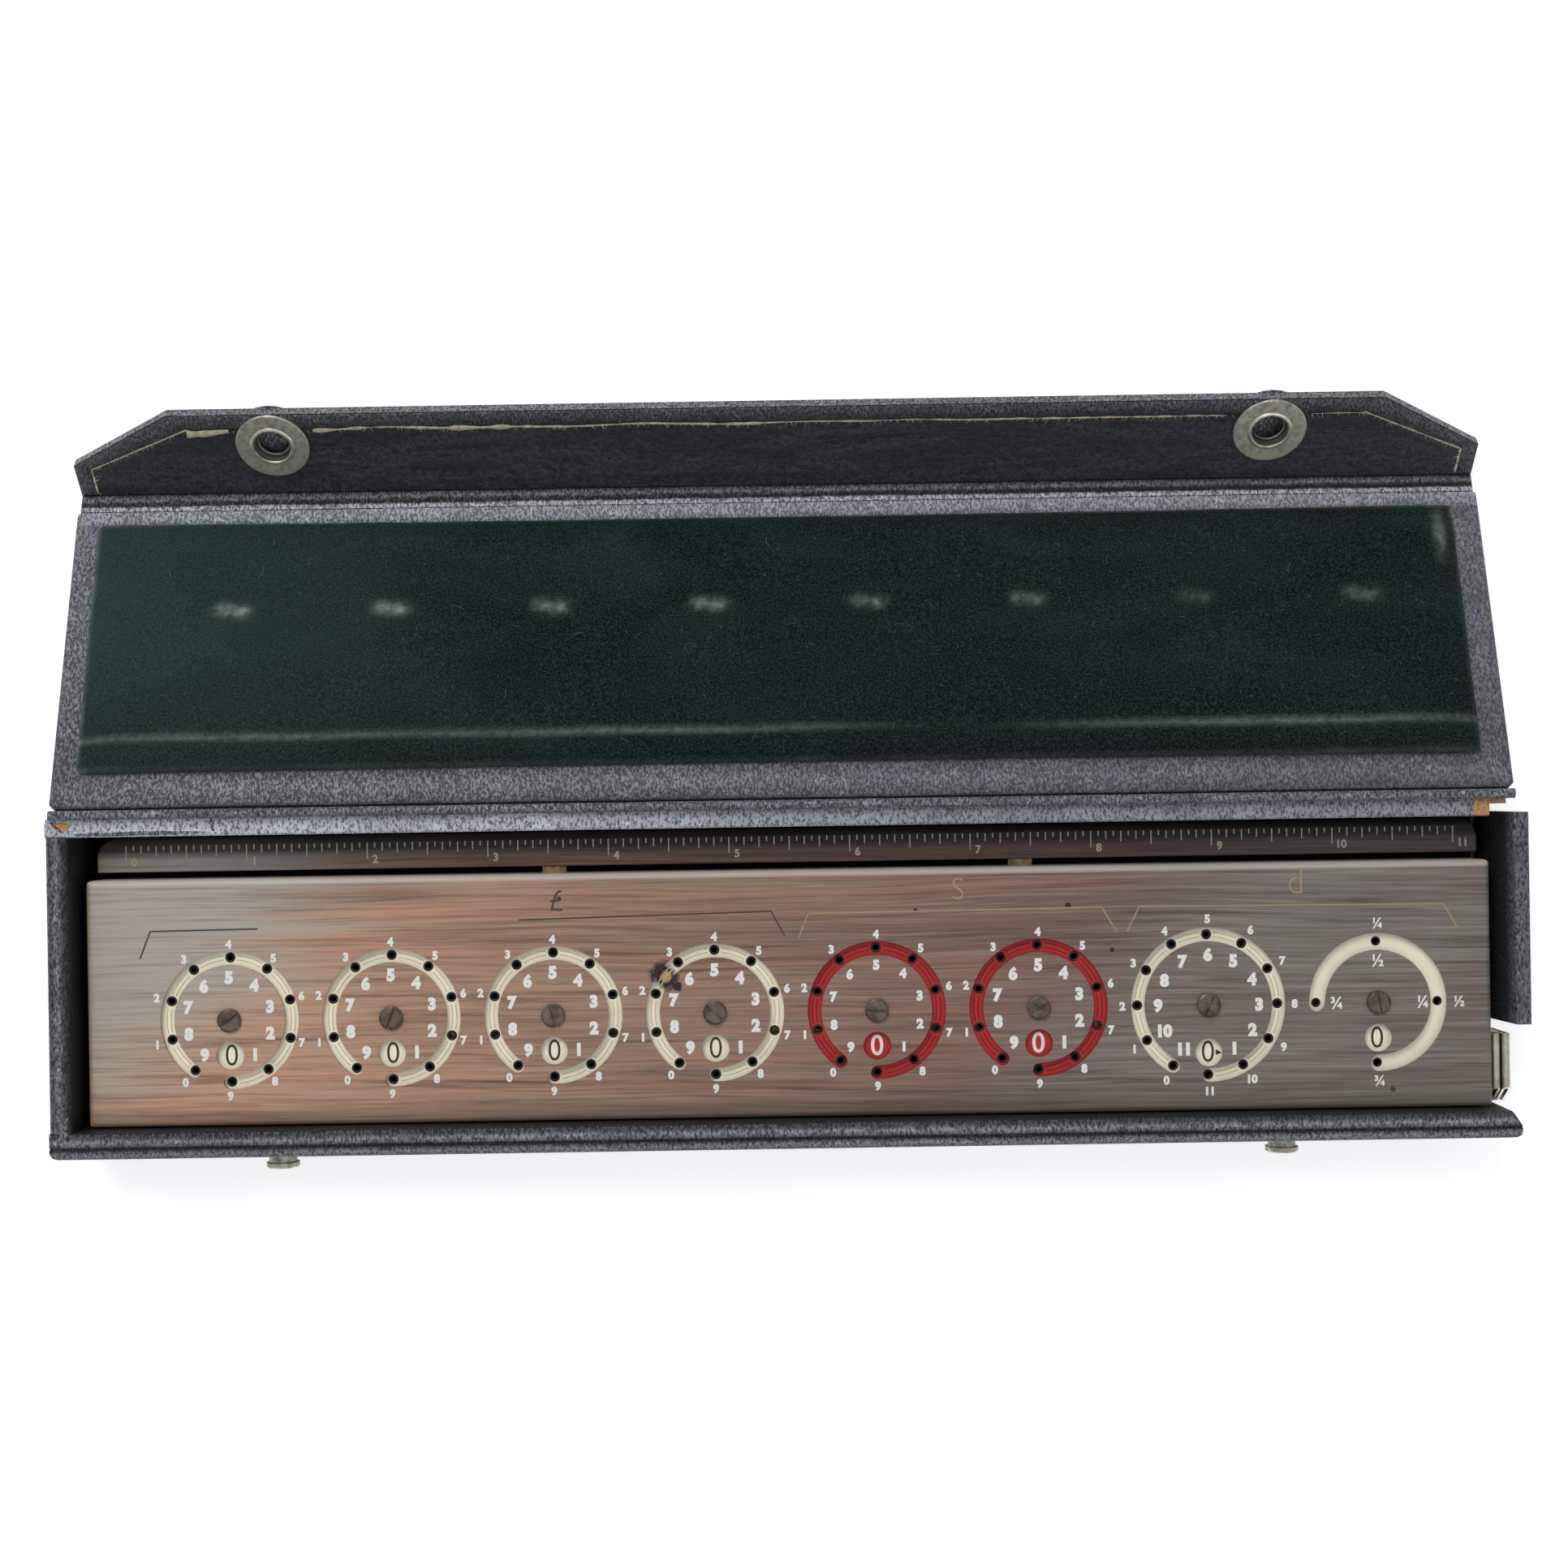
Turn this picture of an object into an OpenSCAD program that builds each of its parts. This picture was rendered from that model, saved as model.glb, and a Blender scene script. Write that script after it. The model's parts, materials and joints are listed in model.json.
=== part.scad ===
// Stylus-worked dial adder for pounds, shillings, pence and farthings, lying in its
// leatherette case with the lid laid open behind it and the snap flap half folded up.
// Millimetres. +X to the right, +Y towards the lid hinge, +Z up.
// Origin: centre of the tray's underside, on the table.

/* [Tray] */
// Outside width of the tray
tray_w = 303; // [300:1:330]
// Outside depth of the tray
tray_d = 71; // [70:0.5:90]
// Height of the tray's walls above the table
tray_h = 24; // [22:0.5:34]
// Thickness of the bottom board
bottom_t = 2.6; // [1.6:0.1:4]
// Thickness of the front wall
front_wall_t = 5.7; // [4:0.1:6]
// Width of the covering's turned-in hem on top of the front wall
hem_w = 2.9; // [2:0.1:3.2]
// Thickness of the rear wall
rear_wall_t = 4.5; // [3:0.1:5]
// Thickness of the left wall
left_wall_t = 4.7; // [3:0.1:6]
// Radius of the front wall's rounded outer shoulder
shoulder_r = 2.2; // [1:0.1:3]
// Thickness of the black lining on the tray's floor
lining_t = 0.5; // [0.2:0.1:0.8]

/* [Loose end wall] */
// Thickness of the end wall
end_wall_t = 3.2; // [2:0.1:3.6]
// Length of the end wall from the rear
end_wall_len = 43.7; // [30:0.1:44]
// How far the loose wall leans outwards
end_wall_lean = 6.5; // [0:0.5:8]

/* [Lid and flap] */
// Width of the lid
lid_w = 300.4; // [292:0.2:310]
// Thickness of the lid's board
lid_t = 3; // [2:0.1:4]
// Distance from the hinge axis to the lid board's far edge
lid_reach = 68.4; // [64:0.1:72]
// Thickness of the flap
flap_t = 2.2; // [1.6:0.1:3]
// Length of the flap from its hinge axis
flap_len = 21; // [19:0.5:24]
// Width of the flap
flap_w = 299; // [280:0.5:306]
// Length of the flap's corner chamfers along the case
flap_chamfer_w = 22; // [5:0.5:40]
// Depth of the flap's corner chamfers
flap_chamfer_d = 12.5; // [3:0.5:16]
// Angle of the flap above the table
flap_angle = 45; // [25:1:70]

/* [Velvet pad] */
// Width of the pad
pad_w = 290; // [250:1:292]
// Distance from the hinge axis to the pad's near edge
pad_start = 8; // [6:0.1:12]
// Depth of the pad
pad_d = 56.3; // [40:0.1:58]
// Height of the pad at its edge
pad_edge_h = 2.6; // [1:0.1:3]
// Extra height of the pad's crown
pad_crown = 1.4; // [0:0.1:1.6]
// Depth of the crease along the pad
crease_depth = 0.45; // [0:0.05:0.8]

/* [Snap fasteners] */
// Sideways place of the left snap
snap_left_x = -106.2; // [-120:0.1:-60]
// Sideways place of the right snap
snap_right_x = 104.3; // [60:0.1:120]
// Distance of the snaps from the flap's hinge axis
snap_reach = 13.2; // [12.6:0.1:13.6]
// Radius of the stud's head
stud_head_r = 3.45; // [3.2:0.05:3.6]
// How far the stud stands out of the wall
stud_out = 3.7; // [3:0.1:4]
// Outer radius of the socket's ring
socket_r = 7.8; // [6.5:0.1:8.2]

/* [Adder body] */
// Width of the adder
adder_w = 292; // [288:0.5:293]
// Depth of the adder's face
adder_d = 51.4; // [49:0.1:51.5]
// Height of the adder from its underside to its face
adder_h = 15.4; // [15.4:0.1:16.4]
// Thickness of the face plate's sheet
sheet_t = 0.8; // [0.5:0.1:1]
// Radius of the face plate's folded edges
fold_r = 1.1; // [0.9:0.1:2]
// Thickness of the base plate
base_t = 1; // [0.8:0.1:1.2]
// Width of the ruler ledge
ledge_d = 7.2; // [5:0.1:7.3]
// Height of the ruler ledge above the adder's underside
ledge_h = 9.3; // [6:0.1:12]
// Length of the ruler ledge
ledge_w = 290.5; // [280:0.5:292]

/* [Dials] */
// Distance between neighbouring dials, pounds and shillings
dial_pitch = 33.64; // [33.4:0.02:34]
// Distance between neighbouring dials on both sides of the pence dial
pence_pitch = 35.3; // [35.2:0.1:36]
// Sideways place of the first dial
first_dial_x = -115.4; // [-117:0.1:-114]
// Distance of the dial line from the tray's centre line
dial_y = -7.5; // [-8.5:0.1:-7]
// Outer radius of a decimal dial's slot
slot_r = 14.4; // [13.8:0.1:14.6]
// Outer radius of the pence dial's slot
pence_slot_r = 16.1; // [15.6:0.1:16.3]
// Width of the slots
slot_w = 2.9; // [2.2:0.1:3.2]
// Width of the farthing dial's slot
farthing_slot_w = 3.5; // [2.6:0.1:3.8]
// Radius of a result window
window_r = 2.9; // [2.2:0.1:3.2]
// Radius of a stylus hole
stylus_r = 0.8; // [0.5:0.05:1.1]
// Radius of a centre screw's head
screw_r = 2.45; // [2:0.05:3]

/* [Movement] */
// Gear module of the star wheels and pinions
gear_module = 2; // [1.9:0.05:2]
// Thickness of the number wheels
number_wheel_t = 1.2; // [0.8:0.1:1.4]
// Radius of the wheels' pivot posts
pivot_r = 2; // [1.6:0.1:2.4]
// Travel of the clearing bar
clear_stroke = 5; // [3:0.5:5]

/* [Hidden] */
$fn = 96;
fit = 0.05;                  // radial running clearance of a wheel on its post
air = 0.3;                   // clearance between pieces that pass each other
far = 400;                   // longer than any piece, for cuts

// Tray
floor_z = bottom_t + lining_t;
front_in = -tray_d / 2 + front_wall_t;
rear_in = tray_d / 2 - rear_wall_t;
left_in = -tray_w / 2 + left_wall_t;
lip_r = 0.7;                 // inner edge of the walls
hem_groove = [0.5, 0.35];    // width and depth of the groove along the hem
tray_corner_r = 1.8;
wall_end_x = tray_w / 2 - 0.2;       // right end of the front wall
wall_end_cut = [2, 3];               // its slanting inner corner
board_end_x = tray_w / 2 - 0.6;

// Loose end wall, hinged on cloth along the bottom board's edge
cloth_t = 0.4;
end_axis_x = board_end_x + cloth_t;
end_bead_r = 0.5;
end_axis_z = bottom_t + end_bead_r + 0.1;
end_skin = 0.1;                      // outer face beyond the hinge axis
end_gap = end_bead_r + air;
end_wall_top = tray_h - end_axis_z - 0.2;
end_wall_y1 = rear_in + 0.7;
end_wall_y0 = end_wall_y1 - end_wall_len;
end_inner_x = end_axis_x + end_skin - end_wall_t;
rear_wall_end_x = end_inner_x - 2.8;
rear_ply_t = 2;                      // outer ply left bare where the corner has torn
rear_ply_end_x = rear_wall_end_x + 3.6;

// Lid hinge: a cloth bead along the tray's rear rim
hinge_bead_r = 1;
hinge_y = tray_d / 2 + 0.1;
hinge_z = tray_h + hinge_bead_r + 0.1;
lid_in = hinge_z - tray_h - air;     // inner face above the axis, lid laid open
lid_out = lid_in - lid_t;            // outer face
lid_start = hinge_bead_r + air;
skin_t = 0.6;                        // covering cloth on the lid's outer face
rest_gap = 0.1;                      // lid's lowest edge above the table
lid_low = [lid_reach, lid_out - skin_t];
lid_slope = asin((hinge_z - rest_gap) / norm(lid_low)) - atan(-lid_low[1] / lid_low[0]);

// Flap hinge: a thinner bead that clears the front wall when the case is shut
flap_bead_r = 0.5;
flap_in = 0.3;                       // inner face of the flap beyond its axis
flap_out = flap_in - flap_t;
ring_t = 0.7;
flap_axis_t = hinge_y + tray_d / 2 + air + ring_t + flap_in;
flap_start = flap_bead_r + air;
flap_fold = lid_slope + flap_angle;
flap_hem = 8;                        // how far the covering cloth reaches under the lid

// Pad
pad_x = -0.5;
crease_t = pad_start + 6.9;
pad_draw_in = 0.4;

// Snaps
snap_xs = [snap_left_x, snap_right_x];
snap_z = hinge_z - snap_reach;
stud_neck_r = stud_head_r - 0.55;
stud_base_r = stud_head_r + 0.05;
stud_post_r = 1.2;
hole_r = stud_head_r + 0.35;         // socket's hole
barrel_r = hole_r + 1.8;
cap_r = socket_r + 0.4;
cap_h = 2.6;
cap_skin = 1.2;
rivet_r = 2.5;
rivet_h = 0.5;

// Adder body
adder_z = floor_z + 0.1;
face_z = adder_z + adder_h;
under_z = face_z - sheet_t;          // underside of the face
base_top = adder_z + base_t;
adder_y0 = front_in + air;
adder_y1 = adder_y0 + adder_d;
adder_cx = 1;
adder_x0 = adder_cx - adder_w / 2;
adder_x1 = adder_cx + adder_w / 2;
plan_r = 1.4;                        // corners of the face seen from above
ledge_gap = 1.4;
ledge_y0 = adder_y1 + ledge_gap;
ledge_y1 = ledge_y0 + ledge_d;
ledge_z = adder_z + ledge_h;
ledge_sheet = 0.7;
ledge_x = [adder_cx - ledge_w / 2, adder_cx + ledge_w / 2];
ledge_y = [ledge_y0, ledge_y1];
ledge_skirt_y = ledge_y0 + ledge_sheet;
ledge_under = ledge_z - ledge_sheet;
ledge_corner_r = 4.6;
ledge_fold_r = 1.8;
lug_xs = [-48.1, 50.1];
lug_w = 5;
lug_t = 0.6;
lug_drop = 0.7;                      // lugs below the ledge's top
lug_skirt = 6;

// Dials, numbered from the left: 1 to 4 pounds, 5 and 6 shillings, 7 pence, 8 farthings
dial_count = 8;
pence_dial = 7;
farthing_dial = 8;
function dial_x(k) = first_dial_x
    + min(k - 1, pence_dial - 2) * dial_pitch
    + max(k - pence_dial + 1, 0) * pence_pitch;
function teeth(k) = k == pence_dial ? 12 : k == farthing_dial ? 8 : 10;
function positions(k) = k == pence_dial ? 12 : k == farthing_dial ? 4 : 10;
function slot_width(k) = k == farthing_dial ? farthing_slot_w : slot_w;
function slot_outer(k) = k == pence_dial ? pence_slot_r : slot_r;
function slot_mid(k) = slot_outer(k) - slot_width(k) / 2;
function slot_start(k) = 90 + slot_back(k) * 360 / positions(k);
function slot_back(k) = k == pence_dial ? 5 : k == farthing_dial ? 1 : 4;
function window_y(k) = k == pence_dial ? -9.9 : -7.4;
bottom_hole = -90;                   // a slot ends at the hole nearest the user
disc_margin = 0.9;                   // number wheel beyond its slot
slot_end_relief = 0.03;              // round slot ends are this much narrower

// Heights of the movement, from the face down
disc_top = under_z - 0.7;
disc_z = disc_top - number_wheel_t;
level_t = 1.4;
star_t = 2;
upper_z = disc_z - 1.3 - level_t;    // carry fingers of the odd dials
star_z = upper_z - 0.6 - star_t;
lower_z = star_z - 0.6 - level_t;    // carry fingers of the even dials
hub_r = 4;
hub_z = base_top + 2.2;
spigot_r = hub_r - 1;
screw_head_h = 0.9;
screw_shank_r = pivot_r - 0.9;
screw_len = 5;
screw_slot_w = 0.6;

// Star wheels and pinions: tooth radii beyond the pitch circle and half widths, in modules
star_radii = [-1, -0.4, 0.1, 0.5];
star_halves = [0.865, 0.8, 0.655, 0.405];
pinion_teeth = 6;
pinion_radii = [-0.8, -0.3, 0.2, 0.6];
pinion_halves = [0.79, 0.79, 0.69, 0.44];
pinion_tip = gear_module * (pinion_teeth / 2 + pinion_radii[3]);
pinion_pin_r = 1.5;
function star_tip(k) = gear_module * (teeth(k) / 2 + star_radii[3]);
function mesh_reach(k) = gear_module * (teeth(k) + pinion_teeth) / 2;
function carry_reach(k) = star_tip(k + 1) + pinion_tip + 1.6;
function dial_gap(k) = dial_x(k + 1) - dial_x(k);
// Place of pinion k: in mesh with star k, and clear of star k + 1
function pinion_dx(k) = (pow(mesh_reach(k), 2) - pow(carry_reach(k), 2) + pow(dial_gap(k), 2))
    / (2 * dial_gap(k));
function pinion_dy(k) = -sqrt(pow(mesh_reach(k), 2) - pow(pinion_dx(k), 2));
function mesh_angle(k) = k == farthing_dial ? 0 : atan2(pinion_dy(k), pinion_dx(k));
function is_odd(k) = k % 2 == 1;
function pinion_z0(k) = is_odd(k) ? lower_z - 0.2 : star_z - 0.2;
function pinion_z1(k) = is_odd(k) ? star_z + star_t + 0.2 : upper_z + level_t + 0.2;
function finger_z(k) = is_odd(k) ? upper_z : lower_z;
function finger_r(k) = carry_reach(k - 1) - pinion_tip - air;
clip_r = 2.6;
clip_t = 0.4;

// Clearing bar and its stops
bar_t = 1;
bar_z = base_top + air;
bar_y0 = dial_y + 16;
bar_y1 = bar_y0 + 5;
rail_lead = 16;                      // rail beyond the first dial
rivet_hole_r = 0.75;
stop_pin_r = 0.8;
stop_pin_reach = 7;
stop_pin_angle = 120;
stop_pin_z = bar_z + 2.7;
stop_pin_x = stop_pin_reach * cos(stop_pin_angle);
stop_x = stop_pin_x - stop_pin_r - air - clear_stroke;   // bar's stop before it is pulled
stop_y = [4.6, 6.6];
stop_t = 1.6;
stop_tab_w = 2.6;
stop_top = stop_pin_z + 1;
arm_lead = 9.1;                      // arm beyond the last dial
arm_w = 7;
arm_x = [dial_x(farthing_dial) + arm_lead, dial_x(farthing_dial) + arm_lead + arm_w];
tail_lead = 2.5;                     // tail behind the adder's front
tail_w = 10;
tail_y = [adder_y0 + tail_lead, adder_y0 + tail_lead + tail_w];
pull_x0 = adder_x1 + 0.4;
pull_w = 4;
pull_inset = 0.2;                    // tail's end behind the pull's outer face
pull_y = [adder_y0 + 0.3, adder_y0 + 14.9];
pull_top = face_z - 1.6;
pull_sheet = 0.5;
pull_groove = 0.4;
pull_chamfer = [5, 3.4];
guide_r = 1.5;
guide_head_r = 2.6;
guide_xs = [for (k = [1, 4, 7]) dial_x(k) + dial_gap(k) / 2];

// Detents: a leaf on a post, with a round nose between two teeth
spring_t = 0.4;
spring_h = 1.6;
nose_r = 1.3;
spring_len = 9.5;
spring_post_r = 1.5;
function notch_step(k) = k == farthing_dial ? -3 : 2;
function notch_angle(k) = mesh_angle(k) + (0.5 + notch_step(k)) * 360 / teeth(k);
function spring_side(k) = k == farthing_dial ? 1 : -1;
function spring_u(k) = star_tip(k) + air;

leatherette = [0.20, 0.21, 0.25];
lining_black = [0.06, 0.06, 0.07];
velvet = [0.10, 0.20, 0.18];
nickel = [0.62, 0.61, 0.55];
bronze = [0.30, 0.25, 0.21];
brass = [0.72, 0.58, 0.30];
steel = [0.55, 0.55, 0.55];
wood_print = [0.55, 0.42, 0.36];
cream = [0.88, 0.84, 0.68];
red_enamel = [0.68, 0.18, 0.18];

// ---- Outlines ----

// Rectangle between two corners with all four corners rounded
module round_rect(x, y, r) {
    translate([x[0] + r, y[0]]) square([x[1] - x[0] - 2 * r, y[1] - y[0]]);
    translate([x[0], y[0] + r]) square([x[1] - x[0], y[1] - y[0] - 2 * r]);
    for (cx = [x[0] + r, x[1] - r], cy = [y[0] + r, y[1] - r])
        translate([cx, cy]) circle(r);
}

// Rectangle from [x0, 0] to [x1, h] with its upper corners rounded
module arch(x, h, r0, r1) {
    translate([x[0], 0]) square([x[1] - x[0], h - max(r0, r1)]);
    translate([x[0] + r0, 0]) square([x[1] - x[0] - r0 - r1, h]);
    translate([x[0] + r0, h - r0]) circle(r0);
    translate([x[1] - r1, h - r1]) circle(r1);
    if (r1 < r0) translate([x[0] + r0, 0]) square([x[1] - x[0] - r0, h - r1]);
    if (r0 < r1) translate([x[0], 0]) square([x[1] - x[0] - r1, h - r0]);
}

// Extrudes an outline of Y and Z along X, and one of X and Z along Y
module along_x(x0, x1) {
    translate([x0, 0, 0]) rotate([90, 0, 90]) linear_extrude(x1 - x0) children();
}
module along_y(y0, y1) {
    translate([0, y1, 0]) rotate([90, 0, 0]) linear_extrude(y1 - y0) children();
}

// Ring sector that goes clockwise from angle a0 to a1, with round ends a little narrower
module arc_slot(r, w, a0, a1) {
    steps = ceil((a0 - a1) / 30);
    wedge = [for (i = [0:steps]) 2 * r * [cos(a0 + (a1 - a0) * i / steps), sin(a0 + (a1 - a0) * i / steps)]];
    intersection() {
        difference() {
            circle(r + w / 2);
            circle(r - w / 2);
        }
        polygon(concat([[0, 0]], wedge));
    }
    for (a = [a0, a1]) rotate(a) translate([r, 0]) circle(w / 2 - slot_end_relief);
}

// Star outline: n teeth, each through four radii with a half width at each
module star(n, radii, halves) {
    m = gear_module;
    half_turns = [for (j = [0:3]) asin(halves[j] / (n / 2 + radii[j]))];
    flank = [for (j = [0:3]) [m * (n / 2 + radii[j]), half_turns[j]]];
    both = concat([for (j = [0:3]) [flank[j][0], -flank[j][1]]], [for (j = [3:-1:0]) flank[j]]);
    polygon([for (i = [0:n - 1], p = both)
        p[0] * [cos(i * 360 / n + p[1]), sin(i * 360 / n + p[1])]]);
}

// ---- Places ----

// Lid: X along the hinge, Y away from it, Z out of the lid's inner face
module on_lid() {
    translate([0, hinge_y, hinge_z]) rotate([-lid_slope, 0, 0]) children();
}

// Flap: the same, from its own hinge axis
module on_flap() {
    on_lid() translate([0, flap_axis_t, 0]) rotate([flap_fold, 0, 0]) children();
}

// End wall: Z up the wall from its hinge axis, X outwards
module on_end_wall() {
    translate([end_axis_x, 0, end_axis_z]) rotate([0, end_wall_lean, 0]) children();
}

module at_dial(k) {
    translate([dial_x(k), dial_y, 0]) children();
}

module at_pinion(k) {
    at_dial(k) translate([pinion_dx(k), pinion_dy(k), 0]) children();
}

// Detent of dial k: X away from the dial through a notch
module at_notch(k) {
    at_dial(k) rotate(notch_angle(k)) children();
}

// ---- Case ----

module tray_plan() {
    round_rect([-tray_w / 2, tray_w / 2], [-tray_d / 2, tray_d / 2], tray_corner_r);
}

module case_bottom_board() {
    color(leatherette) intersection() {
        linear_extrude(bottom_t) tray_plan();
        translate([-far, -far, 0]) cube([far + board_end_x, 2 * far, bottom_t]);
    }
}

module case_front_wall() {
    color(leatherette) difference() {
        intersection() {
            along_x(-tray_w / 2, wall_end_x) difference() {
                arch([-tray_d / 2, front_in], tray_h, shoulder_r, lip_r);
                translate([-far, 0]) square([2 * far, bottom_t]);
                translate([front_in - hem_w - hem_groove[0], tray_h - hem_groove[1]])
                    square([hem_groove[0], 1]);
            }
            linear_extrude(tray_h) tray_plan();
        }
        linear_extrude(far) polygon([[wall_end_x - wall_end_cut[0], front_in + 1],
            [wall_end_x - wall_end_cut[0], front_in],
            [wall_end_x, front_in - wall_end_cut[1]],
            [wall_end_x + 1, front_in - wall_end_cut[1]], [wall_end_x + 1, front_in + 1]]);
        for (x = snap_xs) translate([x, 0, snap_z]) {
            along_y(-tray_d / 2 - 1, front_in + 1) circle(stud_post_r + 0.1);
            along_y(front_in - rivet_h - 0.1, front_in + 1) circle(rivet_r + 0.1);
        }
    }
}

module case_rear_wall() {
    color(leatherette) {
        intersection() {
            along_x(-tray_w / 2, rear_wall_end_x) difference() {
                arch([rear_in, tray_d / 2], tray_h, lip_r, lip_r);
                translate([-far, 0]) square([2 * far, bottom_t]);
            }
            linear_extrude(tray_h) tray_plan();
        }
        translate([rear_wall_end_x - 1, tray_d / 2 - rear_ply_t, bottom_t])
            cube([rear_ply_end_x - rear_wall_end_x + 1, rear_ply_t, tray_h - bottom_t - lip_r]);
    }
}

module case_left_wall() {
    color(leatherette) along_y(front_in, rear_in) difference() {
        arch([-tray_w / 2, left_in], tray_h, shoulder_r / 2, lip_r);
        translate([-far, 0]) square([2 * far, bottom_t]);
    }
}

module tray_lining() {
    color(lining_black) translate([left_in + 0.2, front_in + 0.2, bottom_t])
        cube([end_inner_x - left_in - 0.5, rear_in - front_in - 0.4, lining_t]);
}

module rear_hinge_cloth() {
    color(leatherette) along_x(-lid_w / 2, lid_w / 2) {
        translate([tray_d / 2, bottom_t / 2]) square([cloth_t, hinge_z - bottom_t / 2]);
        translate([hinge_y, hinge_z]) circle(hinge_bead_r);
    }
}

module end_hinge_cloth() {
    color(leatherette) along_y(end_wall_y0, end_wall_y1) {
        translate([board_end_x, cloth_t]) square([cloth_t, end_axis_z - cloth_t]);
        translate([end_axis_x, end_axis_z]) circle(end_bead_r);
    }
}

module right_end_wall() {
    color(leatherette) on_end_wall() along_y(end_wall_y0, end_wall_y1)
        translate([0, end_gap]) arch([end_skin - end_wall_t, end_skin],
            end_wall_top - end_gap, lip_r, lip_r);
}

module snap_studs() {
    color(nickel) for (x = snap_xs) translate([x, -tray_d / 2, snap_z]) rotate([90, 0, 0])
        rotate_extrude() difference() {
            union() {
                square([stud_base_r, 0.5]);
                square([stud_neck_r, stud_out - 0.6]);
                translate([0, stud_out - 1.3]) square([stud_head_r - 0.5, 1.3]);
                translate([0, stud_out - 1.3 + 0.2]) square([stud_head_r, 0.6]);
                translate([stud_head_r - 0.5, stud_out - 0.5]) circle(0.5);
            }
            translate([-1, -1]) square([1 + stud_post_r + fit, stud_out]);
            translate([-1, -1]) square([1, 2 * stud_out]);
        }
}

module stud_rivets() {
    color(nickel) for (x = snap_xs) translate([x, 0, snap_z]) {
        along_y(front_in - rivet_h, front_in) circle(rivet_r);
        along_y(-tray_d / 2 - stud_out + 1.3, front_in) circle(stud_post_r);
    }
}

// ---- Lid ----

module lid_board() {
    color(leatherette) on_lid() intersection() {
        translate([0, 0, lid_out]) linear_extrude(lid_t)
            round_rect([-lid_w / 2, lid_w / 2], [lid_start, lid_reach], 1.5);
        along_x(-far, far) round_rect([lid_start, lid_reach], [lid_out, lid_in], 0.6);
        along_y(0, far) round_rect([-lid_w / 2, lid_w / 2], [lid_out, lid_in], 0.6);
    }
}

// Padded velvet: crowned, with sides that pull in between the corners and one long crease
module lid_pad() {
    cols = 36;
    crease_rows = [for (d = [-2.2, -1.1, 0, 1.1, 2.2]) crease_t - pad_start + d];
    rows_t = concat([0, 0.8, 2.4], crease_rows,
        [for (i = [1:9]) crease_t - pad_start + 2.2 + (pad_d - 2.4 - crease_t + pad_start - 2.2) * i / 9],
        [pad_d - 0.8, pad_d]);
    rows = len(rows_t);
    edge_w = 2.4;
    function edge_fall(d) = d >= edge_w ? 0 : 1 - sqrt(1 - pow(1 - d / edge_w, 2));
    function col_x(i) = i < 3 ? [0, 0.8, 2.4][i]
        : i > cols - 4 ? pad_w - [0, 0.8, 2.4][cols - 1 - i]
        : 2.4 + (pad_w - 4.8) * (i - 2) / (cols - 5);
    function crown(x, t) = pad_crown * (1 - pow(abs(2 * x / pad_w - 1), 4))
        * (1 - pow(abs(2 * t / pad_d - 1), 2.5));
    function crease(t) = crease_depth * exp(-pow((t - crease_t + pad_start) / 1.2, 2));
    function top(x, t) = pad_edge_h + crown(x, t) - crease(t)
        - pad_edge_h * 0.55 * edge_fall(min(x, pad_w - x, t, pad_d - t));
    function pull_x(x, t) = x + pad_draw_in * (1 - 2 * x / pad_w) * (1 - pow(2 * t / pad_d - 1, 2));
    function pull_t(x, t) = t + pad_draw_in * (1 - 2 * t / pad_d) * (1 - pow(2 * x / pad_w - 1, 2));
    function place(x, t, z) = [pad_x - pad_w / 2 + pull_x(x, t), pad_start + pull_t(x, t), z];
    tops = [for (j = [0:rows - 1], i = [0:cols - 1])
        place(col_x(i), rows_t[j], lid_in + top(col_x(i), rows_t[j]))];
    feet = [for (j = [0:rows - 1], i = [0:cols - 1]) place(col_x(i), rows_t[j], lid_in)];
    shift = rows * cols;
    rim = concat([for (i = [0:cols - 1]) i],
        [for (j = [1:rows - 1]) j * cols + cols - 1],
        [for (i = [cols - 2:-1:0]) (rows - 1) * cols + i],
        [for (j = [rows - 2:-1:1]) j * cols]);
    top_faces = [for (j = [0:rows - 2], i = [0:cols - 2], half = [0, 1])
        half == 0 ? [j * cols + i, (j + 1) * cols + i + 1, j * cols + i + 1]
            : [j * cols + i, (j + 1) * cols + i, (j + 1) * cols + i + 1]];
    side_faces = [for (n = [0:len(rim) - 1])
        let (a = rim[n], b = rim[(n + 1) % len(rim)]) [a, b, b + shift, a + shift]];
    foot_face = [for (n = rim) n + shift];
    color(velvet) on_lid() polyhedron(concat(tops, feet),
        concat(top_faces, side_faces, [foot_face]));
}

// Covering cloth under the lid's far edge, padded out to the bead that carries the flap
module flap_hinge_cloth() {
    color(leatherette) on_lid() along_x(-flap_w / 2, flap_w / 2) {
        translate([lid_reach - flap_hem, lid_out - skin_t]) square([flap_hem, skin_t]);
        polygon([[lid_reach, lid_out - skin_t], [flap_axis_t, -flap_bead_r],
            [flap_axis_t, flap_bead_r], [lid_reach, lid_in - 0.1]]);
        translate([flap_axis_t, 0]) circle(flap_bead_r);
    }
}

// ---- Flap ----

module flap_plan() {
    half = flap_w / 2;
    polygon([[-half, flap_start], [half, flap_start], [half, flap_len - flap_chamfer_d],
        [half - flap_chamfer_w, flap_len], [-half + flap_chamfer_w, flap_len],
        [-half, flap_len - flap_chamfer_d]]);
}

module flap_board() {
    color(leatherette) on_flap() difference() {
        translate([0, 0, flap_out]) linear_extrude(flap_t) flap_plan();
        for (x = snap_xs) translate([x, snap_reach, flap_out - 1])
            cylinder(r = barrel_r + fit, h = flap_t + 2);
    }
}

module at_snaps() {
    on_flap() for (x = snap_xs) translate([x, snap_reach, 0]) children();
}

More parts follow.
